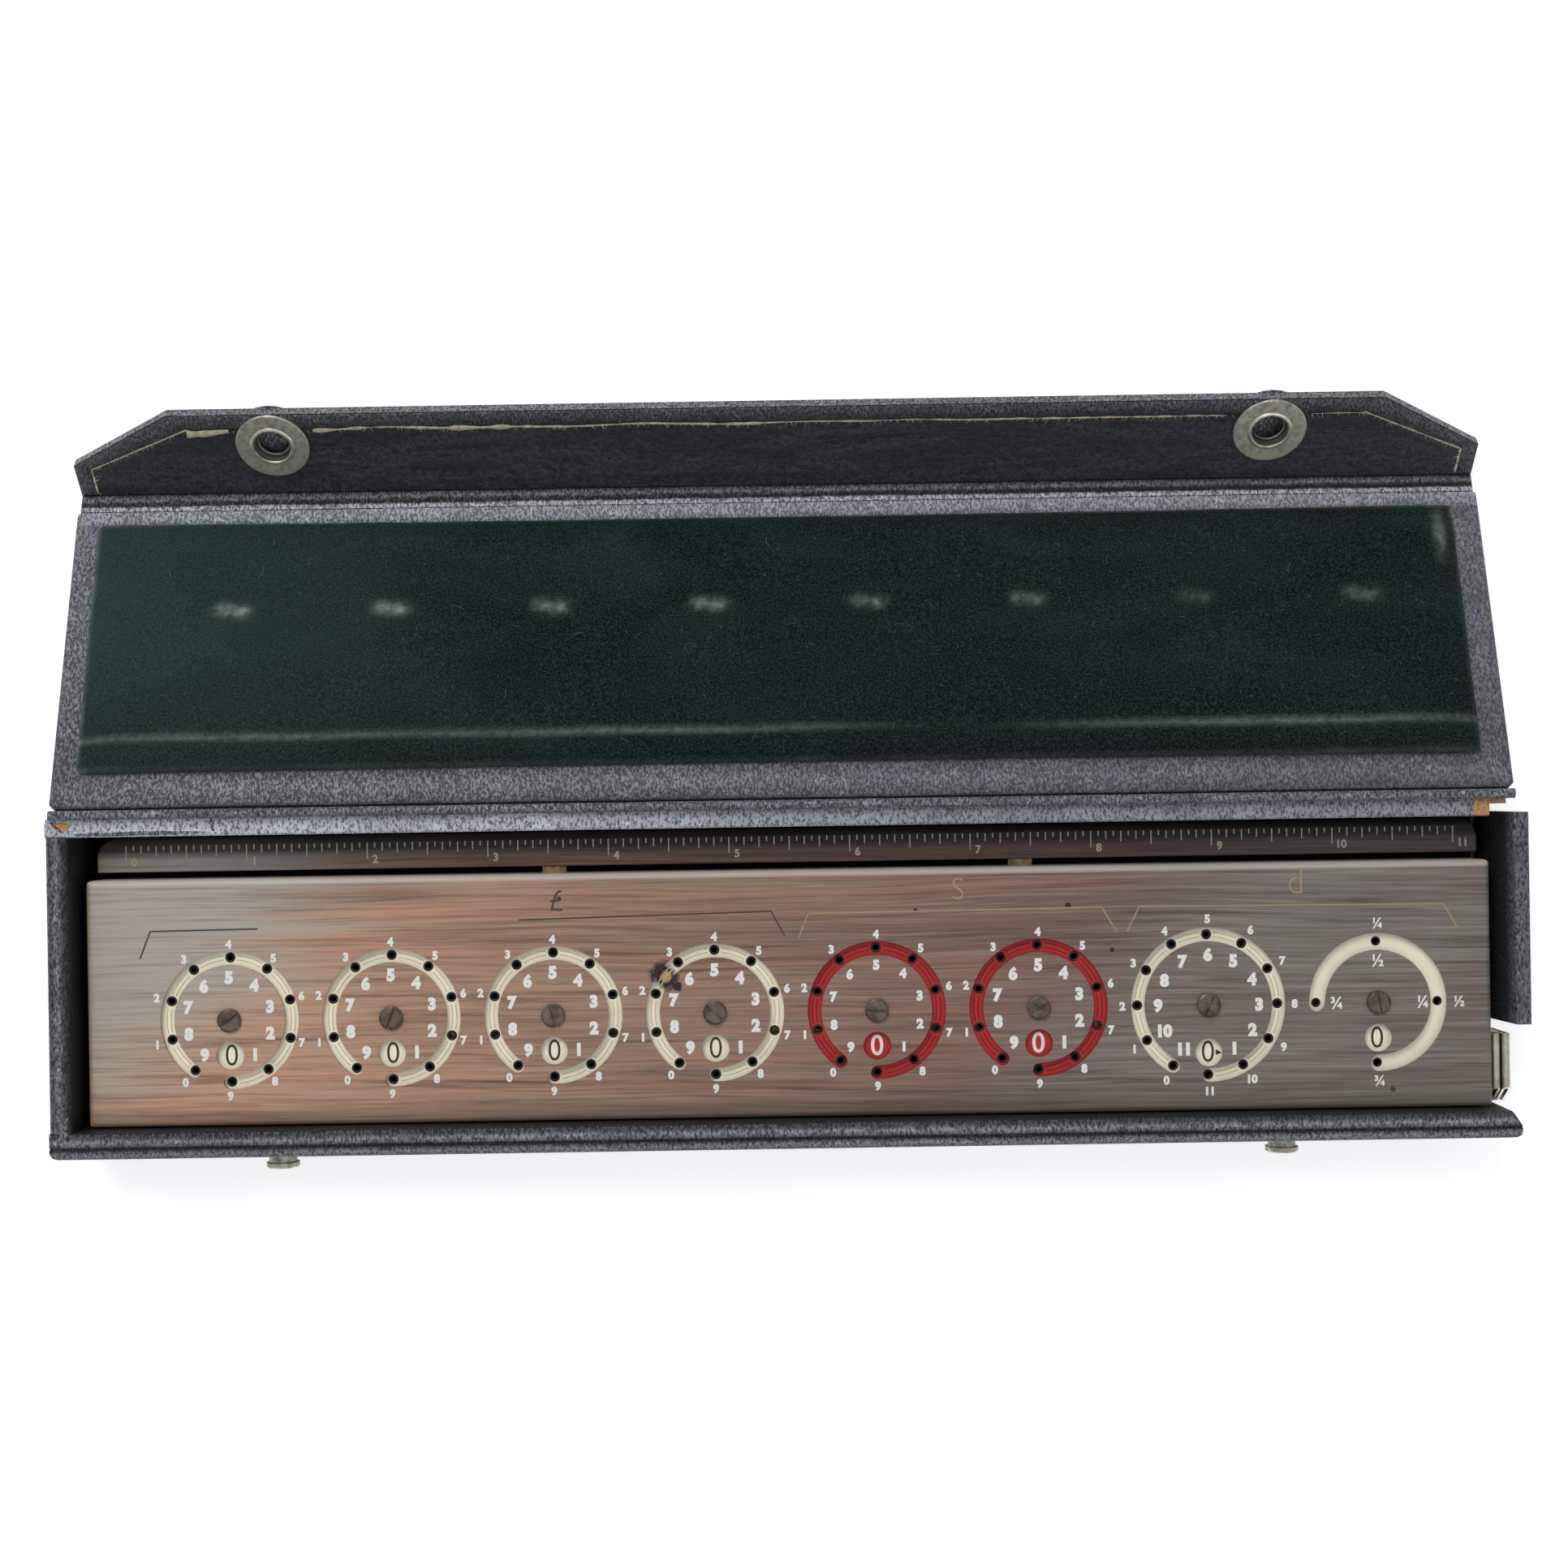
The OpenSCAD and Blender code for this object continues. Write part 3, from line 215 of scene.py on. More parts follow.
class Finish:
    """Writes one finish as shader nodes; lengths are metres on the piece itself."""

    def __init__(self, name, **sockets):
        self.material = bpy.data.materials.new(name)
        self.material.use_nodes = True
        self.tree = self.material.node_tree
        self.tree.nodes.clear()
        self.out = self.put("OutputMaterial")
        self.skin = self.put("BsdfPrincipled", {
            key.replace("_", " "): value for key, value in sockets.items()})
        self.link(self.skin.outputs[0], self.out.inputs["Surface"])
        self.where = self.put("TexCoord").outputs["Object"]
        self.tone = None

    def link(self, value, socket):
        """Joins a socket to another one, or sets it to a plain value."""
        if isinstance(value, bpy.types.NodeSocket):
            self.tree.links.new(value, socket)
        else:
            socket.default_value = value

    def put(self, kind, sockets=(), **settings):
        node = self.tree.nodes.new("ShaderNode" + kind)
        for key, value in settings.items():
            setattr(node, key, value)
        for key, value in dict(sockets).items():
            self.link(value, node.inputs[key])
        return node

    def axis(self, name):
        return self.put("SeparateXYZ", {"Vector": self.where}).outputs[name]

    def placed(self, turn=(0, 0, 0), stretch=(1, 1, 1)):
        return self.put("Mapping", {
            "Vector": self.where, "Rotation": turn, "Scale": stretch}).outputs[0]

    def noise(self, size, detail=3, uneven=0.55, place=None, warp=0.0):
        return self.put("TexNoise", {
            "Vector": place or self.where, "Scale": 1 / size, "Detail": detail,
            "Roughness": uneven, "Distortion": warp}).outputs[0]

    def ramp(self, factor, *stops):
        node = self.put("ValToRGB", {"Fac": factor})
        bar = node.color_ramp.elements
        while len(bar) < len(stops):
            bar.new(0.5)
        for element, (place, colour) in zip(bar, stops):
            element.position = place
            element.color = colour if hasattr(colour, "__len__") else (colour,) * 3 + (1.0,)
        return node.outputs[0]

    def sum(self, a, b, how="ADD", clamp=False):
        return self.put("Math", {0: a, 1: b}, operation=how, use_clamp=clamp).outputs[0]

    def times(self, a, b, clamp=False):
        return self.sum(a, b, "MULTIPLY", clamp)

    def past(self, value, low, high):
        """0 up to the low place, 1 from the high place on."""
        return self.put("MapRange", {
            "Value": value, "From Min": low, "From Max": high}).outputs[0]

    def blend(self, factor, a, b, how="MIX"):
        node = self.put("Mix", data_type="RGBA", blend_type=how)
        for index, value in ((0, factor), (6, a), (7, b)):
            self.link(value, node.inputs[index])
        return node.outputs[2]

    # Small spots from cells: painted glints on the cloths, dark specks of dirt on the enamel.
    def specks(self, size, reach, strength):
        cells = self.put("TexVoronoi", {"Vector": self.where, "Scale": 1 / size}).outputs[0]
        return self.times(self.ramp(cells, (0, 1), (reach, 0)), strength)

    def lay(self, *layers):
        """Lays colours over the tone, each by its own factor."""
        for factor, colour in layers:
            self.tone = self.blend(factor, self.tone, colour)

    def spots(self, places, soft, ragged):
        """Round spots with a ragged edge laid over the tone."""
        for centre, radius, colour in places:
            away = self.put("VectorMath", {0: self.where, 1: centre}, operation="DISTANCE")
            reach = self.sum(self.sum(away.outputs["Value"], radius, "DIVIDE"),
                             self.times(self.noise(0.0008, 2), ragged))
            self.lay((self.ramp(reach, (1 - soft, 1), (1, 0)), colour))

    def rough(self, socket):
        self.link(socket, self.skin.inputs["Roughness"])

    def relief(self, height, depth, strength):
        bump = self.put("Bump", {"Height": height, "Distance": depth, "Strength": strength})
        self.link(bump.outputs[0], self.skin.inputs["Normal"])

    def done(self):
        self.link(self.tone, self.skin.inputs["Base Color"])
        return self.material


def settings(part):
    return getattr(bpy.context.scene, "adder_" + part)


def leatherette(name, light=1.0, wear_and_glint=0.5, across=None, bare=None, contrast=1.0):
    """Wrinkled covering cloth; across is an axis, a start and stops of millimetres and light. light
    scales the whole colour; on the walls and the lid it is painted light, and the across bands
    paint highlights on ridges and shade in grooves.
    """
    case = settings("case")
    finish = Finish(name, Roughness=0.5, Specular_IOR_Level=0.4)
    size = case.pebble_size
    ways = [finish.ramp(finish.noise(size * 0.5, 2, 0.5, finish.placed(
        (0, 0, math.radians(angle)), (1, 0.5, 0.8)), 0.3), (0.43, 0), (0.6, 1))
        for angle in (36, -48)]
    wrinkles = finish.sum(ways[0], finish.times(ways[1], 0.75), "MAXIMUM")
    height = finish.ramp(finish.sum(wrinkles, finish.times(finish.noise(size * 0.3), 0.6)),
                         (0.2, 0), (1, 1))
    folds = finish.noise(0.013, 4, 0.6, finish.placed(stretch=(0.5, 1.2, 1)), 1.2)
    patches = finish.ramp(finish.noise(0.005, 4, 0.7), (0.4, 0), (0.62, 1))
    tips = finish.ramp(finish.times(wrinkles, finish.noise(size * 0.9, 2)), (0.34, 0), (0.56, 1))
    # Pebble tops lighter than the valleys, and pale rubbed tips: partly the cloth's own grain and
    # wear, partly painted highlight on the pebbles and painted shade between them.
    finish.tone = finish.blend(
        finish.ramp(height, (0, 0.5 - contrast / 2), (1, 0.5 + contrast / 2)),
        dimmed(case.leather_deep, light), dimmed(case.leather_top, light))
    finish.lay((finish.ramp(folds, (0.44, 0), (0.68, 0.4)), dimmed(tint(62, 64, 69), light)),
               (finish.times(finish.times(tips, patches), wear_and_glint), case.leather_worn))
    # Painted light: bands of painted highlight on ridges and painted shade in grooves, multiplied
    # into the tone.
    if across is not None:
        axis, start, *stops = across
        low, high = stops[0][0], stops[-1][0]
        waver = finish.times(finish.sum(finish.noise(0.006, 2), -0.5), 0.0005)
        share = finish.past(finish.sum(finish.axis(axis), waver),
                            start + low * MM, start + high * MM)
        lit = finish.ramp(share, *[((place - low) / (high - low), value) for place, value in stops])
        finish.tone = finish.blend(1.0, finish.tone, lit, "MULTIPLY")
    if bare is not None:
        ragged = finish.sum(finish.axis("X"), finish.times(finish.noise(0.0012), 0.0012))
        board = finish.ramp(finish.noise(0.0009, 5, 0.7),
                            (0.3, tint(150, 108, 70)), (0.6, case.board_colour))
        finish.lay((finish.past(ragged, bare, bare + 0.3 * MM), board))
    finish.rough(finish.ramp(height, (0, 0.75), (1, 0.42)))
    finish.relief(finish.sum(height, finish.times(folds, 1.5)), size * 0.3, 0.8)
    return finish.done()


def dark_cloth(name):
    """Smoother, darker grained cloth inside the flap."""
    finish = Finish(name, Roughness=0.55)
    grain = finish.noise(0.0011, 4, 0.65, warp=0.8)
    creases = finish.noise(0.012, 3, place=finish.placed(stretch=(0.3, 1.8, 1)), warp=1.8)
    finish.tone = finish.ramp(grain, (0.36, tint(11, 14, 18)), (0.68, settings("case").flap_cloth))
    # Painted shade in the creases, and painted glints in small specks.
    finish.lay((finish.ramp(creases, (0.45, 0), (0.62, 0.7)), tint(20, 22, 25)),
               (finish.specks(0.0013, 0.2, 0.3), tint(116, 120, 128)))
    finish.relief(finish.sum(grain, finish.times(creases, 1.6)), 0.0003, 0.9)
    return finish.done()


def fibrous(name, dark, light, size, stretch=(1, 1, 1), top=0.62, uneven=0.7,
            depth=0.0002, strength=0.8, **sockets):
    """Loose fibres of felt, strawboard or torn cloth."""
    finish = Finish(name, **sockets)
    fibre = finish.noise(size, 5, uneven, finish.placed(stretch=stretch))
    finish.tone = finish.ramp(fibre, (0.3, dark), (top, light))
    finish.relief(fibre, depth, strength)
    return finish.done()


def velvet():
    """Cut pile: fine speckle of painted highlight and painted shade, painted glints, brushed
    patches, and crushed pale lines and dents.
    """
    pad = settings("pad")
    finish = Finish("green_velvet", Roughness=0.95, Specular_IOR_Level=0.08, Sheen_Weight=0.05,
                    Sheen_Roughness=0.5, Sheen_Tint=tint(150, 175, 168))
    pile = finish.noise(0.00042, 3, 0.7)
    brushed = finish.noise(0.024, 5, 0.62, finish.placed(stretch=(0.5, 1.3, 1)), 1.0)
    cloud = finish.noise(0.05, 3, 0.6, finish.placed(stretch=(0.7, 1.2, 1)), 0.6)
    left = finish.past(finish.axis("X"), -0.06, -0.15)
    lower = finish.past(finish.axis("Y"), 0.034, 0.014)
    finish.tone = finish.blend(finish.ramp(brushed, (0.38, 0.05), (0.66, 0.75)),
                               pad.velvet_deep, pad.velvet_brushed)
    crushed = finish.put("Attribute", attribute_name="crushed").outputs["Fac"]
    broken = finish.ramp(finish.noise(0.0016, 4, 0.7), (0.3, 0.3), (0.62, 1))
    finish.lay((finish.ramp(cloud, (0.42, 0.5), (0.62, 0)), tint(8, 15, 15)),
               (finish.times(left, 0.75), tint(48, 69, 65)),
               (finish.times(lower, 0.5), tint(9, 18, 17)),
               # Painted highlight on the pile's tips, painted shade between them, and painted
               # glints in small specks.
               (finish.ramp(pile, (0.44, 0), (0.76, 0.7)), tint(60, 80, 76)),
               (finish.ramp(pile, (0.26, 0.7), (0.46, 0)), tint(6, 12, 12)),
               (finish.specks(0.0021, 0.1, 0.22), tint(120, 140, 134)),
               (finish.times(crushed, broken, True), pad.velvet_crushed))
    finish.relief(pile, 0.0003, 0.8)
    return finish.done()


def printed_grain(name, chips=(), ledge=False):
    """Wood grain printed on sheet metal: pale at the left, then warm, grey at the right; the pale
    left and the fall in brightness towards the right are partly painted sheen.
    """
    adder = settings("adder")
    finish = Finish(name, Roughness=0.45, Coat_Weight=0.12, Coat_Roughness=0.3,
                    Specular_IOR_Level=0.3)
    times, past, ramp = finish.times, finish.past, finish.ramp
    x, y, z = (finish.axis(axis) for axis in "XYZ")
    drift = finish.noise(0.05, 2, place=finish.placed(stretch=(0.4, 1, 1)))
    bend = finish.sum(y, times(drift, 0.005))

    def drawn(size, share, detail=3, uneven=0.6, warp=0.0):
        """Noise drawn out along the sheet."""
        place = finish.put("CombineXYZ", {"X": times(x, share), "Y": bend, "Z": times(z, 0.2)})
        return finish.noise(size, detail, uneven, place.outputs[0], warp)

    broad, bands = drawn(0.008, 0.07, 4, 0.6, 0.25), drawn(0.0042, 0.035)
    streak, hair = drawn(0.0013, 0.03, 4, 0.7), drawn(0.0005, 0.02, 2)
    ragged = times(finish.sum(broad, bands), 0.045)

    def beyond(slope, low, high):
        """1 to the right of a ragged line that slants across the sheet."""
        return past(finish.sum(finish.sum(x, times(y, slope)), ragged), low, high)

    # Left of this slanting line lies the pale tan print, partly painted sheen.
    warm = beyond(-1.33, -0.088, -0.05)
    middle = ramp(past(x, -0.12, 0.08), (0, adder.grain_orange), (0.42, tint(158, 127, 108)),
                  (0.75, adder.grain_red), (1, tint(118, 99, 89)))
    orange = ramp(past(x, -0.12, 0.05), (0, tint(206, 150, 114)), (1, tint(152, 106, 90)))
    finish.tone = finish.blend(warm, adder.grain_tan, finish.blend(
        ramp(bands, (0.5, 0), (0.66, 0.6)), middle, orange))
    lines = times(ramp(streak, (0.5, 0), (0.72, 0.8)), finish.sum(times(warm, 0.75), 0.2))
    finish.lay((beyond(-0.9, 0.1, 0.14), adder.grain_grey),
               (times(ramp(broad, (0.5, 0), (0.68, 0.5)), warm), tint(110, 88, 76)),
               (lines, adder.grain_dark),
               (ramp(hair, (0.5, 0), (0.75, 0.4)), tint(62, 50, 42)),
               (ramp(hair, (0.28, 0.18), (0.48, 0)), tint(200, 186, 170)))
    if ledge:
        front = LEDGE_LOW.y
        # Darker from the left end on, and a painted shadow of the rear wall over the ledge's rear
        # part.
        finish.lay((past(x, -0.125, -0.09), finish.blend(0.55, finish.tone, tint(58, 42, 36))),
                   (times(past(y, front + 0.0026, front + 0.0044), 0.9), tint(18, 14, 12)))
    else:
        rear, front, left = FACE_HIGH.y, FACE_LOW.y, FACE_LOW.x
        # Painted highlight along the rear folded edge, a darker band along the front edge, and
        # brass showing through worn print along the left edge.
        finish.lay((times(past(y, rear - 0.0016, rear - 0.001), 0.7), tint(196, 188, 176)),
                   (times(past(y, front + 0.0042, front + 0.0012), 0.5), tint(92, 82, 76)),
                   (times(past(x, left + 0.0016, left + 0.0004), 0.6), tint(146, 128, 82)))
    finish.spots(chips, 0.25, 0.5)
    finish.rough(ramp(streak, (0.3, 0.38), (0.8, 0.55)))
    finish.relief(finish.sum(streak, hair), 0.00003, 0.5)
    return finish.done()


def enamel(name, colour, rough=0.4, spots=()):
    finish = Finish(name, Roughness=rough, Coat_Weight=0.1, Coat_Roughness=0.25,
                    Specular_IOR_Level=0.3)
    stain = finish.noise(0.004, 4, 0.6)
    finish.tone = finish.ramp(stain, (0.26, dimmed(colour, 0.9)), (0.52, colour))
    finish.lay((finish.specks(0.0035, 0.07, 0.25), tint(70, 60, 48)))
    finish.spots(spots, 0.3, 0.6)
    finish.relief(stain, 0.00004, 0.4)
    return finish.done()


def ink(name, colour, worn=0.2):
    finish = Finish(name, Roughness=0.5)
    broken = finish.ramp(finish.noise(0.0007, 3, 0.6), (0.3, worn), (0.48, 0))
    finish.tone = finish.blend(broken, colour, dimmed(colour, 0.45))
    return finish.done()


def metal(name, bright, dull, rough=0.3, scale=0.003, dirt=None):
    """Plated or plain metal with dull patches, fine scratches and optional grime."""
    finish = Finish(name, Metallic=1.0, Roughness=rough)
    cloud = finish.noise(scale, 5, 0.62)
    scratch = finish.noise(0.0003, 2, place=finish.placed(stretch=(0.1, 1, 1)))
    finish.tone = finish.ramp(cloud, (0.36, dull), (0.62, bright))
    if dirt:
        finish.lay((finish.ramp(finish.noise(scale * 0.5, 4, 0.7), (0.55, 0), (0.72, 0.8)), dirt))
    finish.rough(finish.ramp(cloud, (0.3, min(1.0, rough + 0.25)), (0.7, rough)))
    finish.relief(scratch, 0.00002, 0.35)
    return finish.done()


# ---- Mesh helpers ----

def add_object(name, data, spot=(0, 0, 0)):
    added = bpy.data.objects.new(name, data)
    added.location = spot
    bpy.context.scene.collection.objects.link(added)
    return added


def add_piece(name, verts, faces, material, body, slot, place=None, smooth=True):
    """A new mesh piece in its place, riding on a body."""
    mesh = bpy.data.meshes.new(name)
    mesh.from_pydata([tuple(v) for v in verts], [], faces)
    mesh.validate()
    mesh.update()
    piece = add_object(name, mesh)
    if place is not None:
        piece.matrix_world = place
    mesh.materials.append(material)
    for polygon in mesh.polygons:
        polygon.use_smooth = smooth
    bpy.context.view_layer.update()
    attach(piece, body)
    return piece


def paint(material, *nodes):
    for name in nodes:
        mesh = frame["nodes"][name].data
        if not mesh.materials:
            mesh.materials.append(material)
        for index in range(len(mesh.materials)):
            mesh.materials[index] = material


def wave(*place):
    """Smooth noise from -1 to 1 at a place."""
    return noise.noise(place)


def bell(offset, width):
    """1 at the middle, falling softly to 0."""
    return math.exp(-(offset / width) ** 2)


def polar(centre, reach, angle):
    return centre.x + reach * math.cos(angle), centre.y + reach * math.sin(angle)


def circle(centre, radius, count, z):
    return [(*polar(centre, radius, math.tau * i / count), z) for i in range(count)]


class Shape:
    """Collects vertices and faces of several small forms for one piece."""

    def __init__(self):
        self.verts = []
        self.faces = []

    def join(self, verts, faces, place=None):
        start = len(self.verts)
        self.verts += [place @ Vector(v) for v in verts] if place else [Vector(v) for v in verts]
        self.faces += [tuple(start + i for i in face) for face in faces]

    def tube(self, points, radius, sides=6, squash=1.0, closed=False):
        """A round thread along points; radius may be one number or one for each point."""
        points = [Vector(p) for p in points]
        count = len(points)
        radii = radius if hasattr(radius, "__len__") else [radius] * count
        verts, faces = [], []
        for i, point in enumerate(points):
            before = points[i - 1] if i or closed else point
            after = points[(i + 1) % count] if i < count - 1 or closed else point
            way = (after - before).normalized()
            side = way.cross(Vector((0, 0, 1)))
            side = side.normalized() if side.length > 1e-6 else Vector((1, 0, 0))
            up = side.cross(way)
            for j in range(sides):
                angle = math.tau * j / sides
                verts.append(point + radii[i] * (math.cos(angle) * side
                                                 + squash * math.sin(angle) * up))
        rings = count if closed else count - 1
        for i in range(rings):
            a, b = i * sides, (i + 1) % count * sides
            faces += [(a + j, a + (j + 1) % sides, b + (j + 1) % sides, b + j)
                      for j in range(sides)]
        if not closed:
            faces.append(tuple(reversed(range(sides))))
            faces.append(tuple(range((count - 1) * sides, count * sides)))
        self.join(verts, faces)

    def slab(self, outline, low, high, top_scale=1.0):
        """A flat-topped form over an outline of X and Y."""
        count = len(outline)
        mid = sum((Vector(p).to_2d() for p in outline), Vector((0, 0))) / count
        verts = [(p[0], p[1], low) for p in outline]
        verts += [(*(mid + (Vector(p).to_2d() - mid) * top_scale), high) for p in outline]
        faces = [tuple(reversed(range(count))), tuple(range(count, 2 * count))]
        faces += [(i, (i + 1) % count, (i + 1) % count + count, i + count) for i in range(count)]
        self.join(verts, faces)

    def stroke(self, points, width, low, high):
        """A printed line of one width through points of X and Y."""
        for a, b in zip(points, points[1:]):
            a, b = Vector(a), Vector(b)
            side = (b - a).orthogonal().normalized() * width / 2
            self.slab([a + side, a - side, b - side, b + side], low, high)

    def piece(self, name, material, body, slot, place=None, smooth=False):
        return add_piece(name, self.verts, self.faces, material, body, slot, place, smooth)


class Letters:
    """Generic digits and money marks as thin printed shapes, each made once."""

    def __init__(self):
        self.kept = {}

    def outline(self, text, bold):
        key = (text, bold)
        if key not in self.kept:
            curve = bpy.data.curves.new("letter", "FONT")
            curve.body = text
            curve.align_x = curve.align_y = "CENTER"
            curve.extrude = 0.006
            curve.offset = bold
            curve.resolution_u = 4
            carrier = add_object("letter", curve)
            bpy.context.view_layer.update()
            mesh = bpy.data.meshes.new_from_object(
                carrier, depsgraph=bpy.context.evaluated_depsgraph_get())
            verts = [v.co.copy() for v in mesh.vertices]
            faces = [tuple(p.vertices) for p in mesh.polygons]
            low, high = corners(verts)
            middle = (low + high) / 2
            self.kept[key] = [v - middle for v in verts], faces, high.y - low.y
            bpy.data.objects.remove(carrier)
            bpy.data.curves.remove(curve)
            bpy.data.meshes.remove(mesh)
        return self.kept[key]

    def print(self, shape, text, height, x, y, z, turn=0.0, bold=0.018, wide=1.0):
        verts, faces, tall = self.outline(text, bold)
        digit = self.outline("0", bold)[2]
        size = height / (digit if text.isdigit() else tall)
        place = (Matrix.Translation((x, y, z)) @ Matrix.Rotation(turn, 4, "Z")
                 @ Matrix.Diagonal((size * wide, size, size, 1.0)))
        shape.join(verts, faces, place)


LETTERS = Letters()


# ---- Operators ----

class ADDER_OT_stage(bpy.types.Operator):
    """Lays the pale floor, sets the soft lights and the camera straight above the case"""
    bl_idname = "adder.stage"
    bl_label = "Stage, Lights and Camera"

    def execute(self, context):
        stage, scene = settings("stage"), context.scene
        scene.view_settings.view_transform = "Standard"
        self.floor(stage)
        self.lights(scene, stage)
        lens = bpy.data.cameras.new("photo_camera")
        lens.sensor_width = 36
        lens.lens = 2714 / 1932 * 36         # fitted to the picture, in its own dots
        lens.clip_start = 0.01
        camera = add_object("photo_camera", lens, (0.0006, 0.0398, stage.camera_height))
        camera.rotation_euler = Euler((0, 0, stage.camera_turn))
        scene.camera = camera
        return {"FINISHED"}

    def floor(self, stage):
        """A pale floor that glows a little where the camera sees it."""
        finish = Finish("pale_floor", Roughness=0.9)
        finish.tone = finish.ramp(finish.noise(0.4, 2), (0.3, stage.floor_colour),
                                  (0.7, tuple(c * 0.985 for c in stage.floor_colour)))
        material, plain = finish.done(), finish.skin.outputs[0]
        glow = finish.put("Emission", {"Color": (1, 1, 1, 1), "Strength": 0.55})
        both = finish.put("AddShader", {0: plain, 1: glow.outputs[0]})
        ray = finish.put("LightPath").outputs
        seen = finish.sum(ray["Is Camera Ray"], ray["Is Glossy Ray"], "MAXIMUM")
        choice = finish.put("MixShader", {0: seen, 1: plain, 2: both.outputs[0]})
        finish.link(choice.outputs[0], finish.out.inputs["Surface"])
        reach, drop = 3.0, -0.00005
        mesh = bpy.data.meshes.new("floor")
        mesh.from_pydata([(-reach, -reach, drop), (reach, -reach, drop),
                          (reach, reach, drop), (-reach, reach, drop)], [], [(0, 1, 2, 3)])
        mesh.materials.append(material)
        add_object("floor", mesh)

    def lights(self, scene, stage):
        world = bpy.data.worlds.new("soft_room")
        world.use_nodes = True
        scene.world = world
        backdrop = world.node_tree.nodes["Background"].inputs
        backdrop["Color"].default_value = (0.93, 0.95, 1.0, 1.0)
        backdrop["Strength"].default_value = 0.5
        for name, spot, aim, size, power in (
                ("key_light", (-0.35, 0.75, 1.0), (0, 0.03, 0), 0.7, stage.key_power),
                ("fill_light", (0.5, -0.9, 0.9), (0, 0.02, 0), 0.9, stage.fill_power)):
            lamp = bpy.data.lights.new(name, "AREA")
            lamp.size, lamp.energy = size, power
            way = Vector(aim) - Vector(spot)
            add_object(name, lamp, spot).rotation_euler = way.to_track_quat("-Z", "Y").to_euler()


class ADDER_OT_case(bpy.types.Operator):
    """Covers the tray, the lid and the loose end wall in worn pebbled leatherette"""
    bl_idname = "adder.case"
    bl_label = "Case Covering"

    def execute(self, context):
        covering = leatherette("leatherette", 0.9, 0.6)
        paint(covering, "case_bottom_board", "end_hinge_cloth", "snap_caps", "rear_hinge_cloth")
        self.walls()
        self.lid()
        felt = tint(26, 26, 28)
        paint(fibrous("black_lining", dimmed(felt, 0.5), felt, 0.0005, top=0.7, strength=0.6,
                      Roughness=0.95, Sheen_Weight=0.2), "tray_lining")
        self.folds(covering)
        self.bare_corner()
        return {"FINISHED"}

    def walls(self):
        """Walls with painted highlights on their ridges and painted shade in the grooves between
        them; each wall's copy is also painted lighter or darker as a whole.
        """
        # Painted shade down the end wall's faces, lit only near its top.
        paint(leatherette("leatherette_end", 0.75, 0.4, (
            "Z", 0, (0, 0.2), (19, 0.16), (22.2, 0.8), (23.6, 1))), "right_end_wall")
        # Painted highlights on the front wall's ridges and painted shade in its grooves and on its
        # inner face.
        paint(leatherette("leatherette_front", 1.45, 0.6, (
            "Y", FRONT_LOW.y, (0, 0.4), (0.5, 0.5), (1.1, 1), (1.6, 0.6), (2.2, 0.05), (2.8, 0.3),
            (3.8, 1), (4.6, 0.35), (5.6, 0.1))), "case_front_wall")
        # Painted highlights on the left wall's ridges and painted shade towards its inner face.
        paint(leatherette("leatherette_side", 1.0, 0.6, (
            "X", SIDE_LOW.x, (0, 0.8), (0.9, 0.45), (2.2, 1), (3.2, 0.4), (3.9, 0.15),
            (4.7, 0.06))), "case_left_wall")
        # Rear wall painted much lighter, most at the left end, as painted light; the bare board
        # near its right end is real wear.
        paint(leatherette("leatherette_torn", 3.4, 0.8, (
            "X", 0, (SIDE_LOW.x / MM, 1), (-50, 0.95), (40, 0.55), (150, 0.48)),
            REAR_HIGH.x - 0.0063, 1.2), "case_rear_wall")

    def lid(self):
        """The lid's border, and the roll and the groove that lead to the flap, with painted shade
        along the hinge and in the groove and painted highlights on the border and the roll.
        """
        board = 68.4
        reach = board * math.cos(LID_SLOPE)
        edge = hinge_point("lid_hinge").y + reach * MM
        # Painted shade along the hinge, a painted highlight stripe just past it, and a painted
        # highlight on the far border.
        paint(leatherette("leatherette_lid", 1.15, 0.35, (
            "Y", edge, (-reach, 0.4), (2.2 - reach, 0.6), (5.2 - reach, 1.05), (7.8 - reach, 0.7),
            (-20, 1), (-3.4, 1), (-2, 1.9), (0.4, 2.1)), contrast=0.6), "lid_board")
        # Painted highlight on the roll, painted shade in the groove beyond it.
        paint(leatherette("leatherette_roll", 1.5, 0.8, (
            "Y", edge, (-8, 0.8), (0, 1.7), (0.9, 1.6), (1.4, 0.03), (2.1, 0.08), (2.8, 0.6),
            (3.4, 0.35), (3.8, 0.05))), "flap_hinge_cloth")

    def folds(self, covering):
        """Overlaps of the covering cloth: ridges along the front and rear walls' tops and the seam
        on the rear wall.
        """
        top, steps, seam_x = FRONT_HIGH.z - 0.00012, 12, -0.1167
        left, right, rear = SIDE_LOW.x, SIDE_HIGH.x, REAR_LOW.y + 0.0008
        runs = [((left + 0.001 + 0.0006 * n, FRONT_LOW.y + 0.0026 + 0.0011 * n),
                 (right - 0.0007, FRONT_HIGH.y + 0.0004 + 0.0016 * n)) for n in range(3)]
        runs += [((left + 0.0008, REAR_HIGH.y - 0.001), (right - 0.0006, rear)),
                 ((seam_x, rear), (seam_x - 0.0006, REAR_HIGH.y - 0.0008)),
                 ((seam_x, rear), (-0.1465, REAR_LOW.y + 0.0007))]
        widths = [0.00045 * math.sin(math.pi * (n + 0.6) / (steps + 1.2)) ** 0.5
                  for n in range(steps + 1)]
        shape = Shape()
        for start, end in runs:
            a, b = Vector((*start, top)), Vector((*end, top))
            shape.tube([a.lerp(b, n / steps)
                        + Vector((0, 0.0002 * wave(n * 0.5, a.x * 90, 3), 0))
                        for n in range(steps + 1)], widths, 8, 0.6)
        shape.piece("covering_folds", covering, "case", "leatherette", smooth=True)

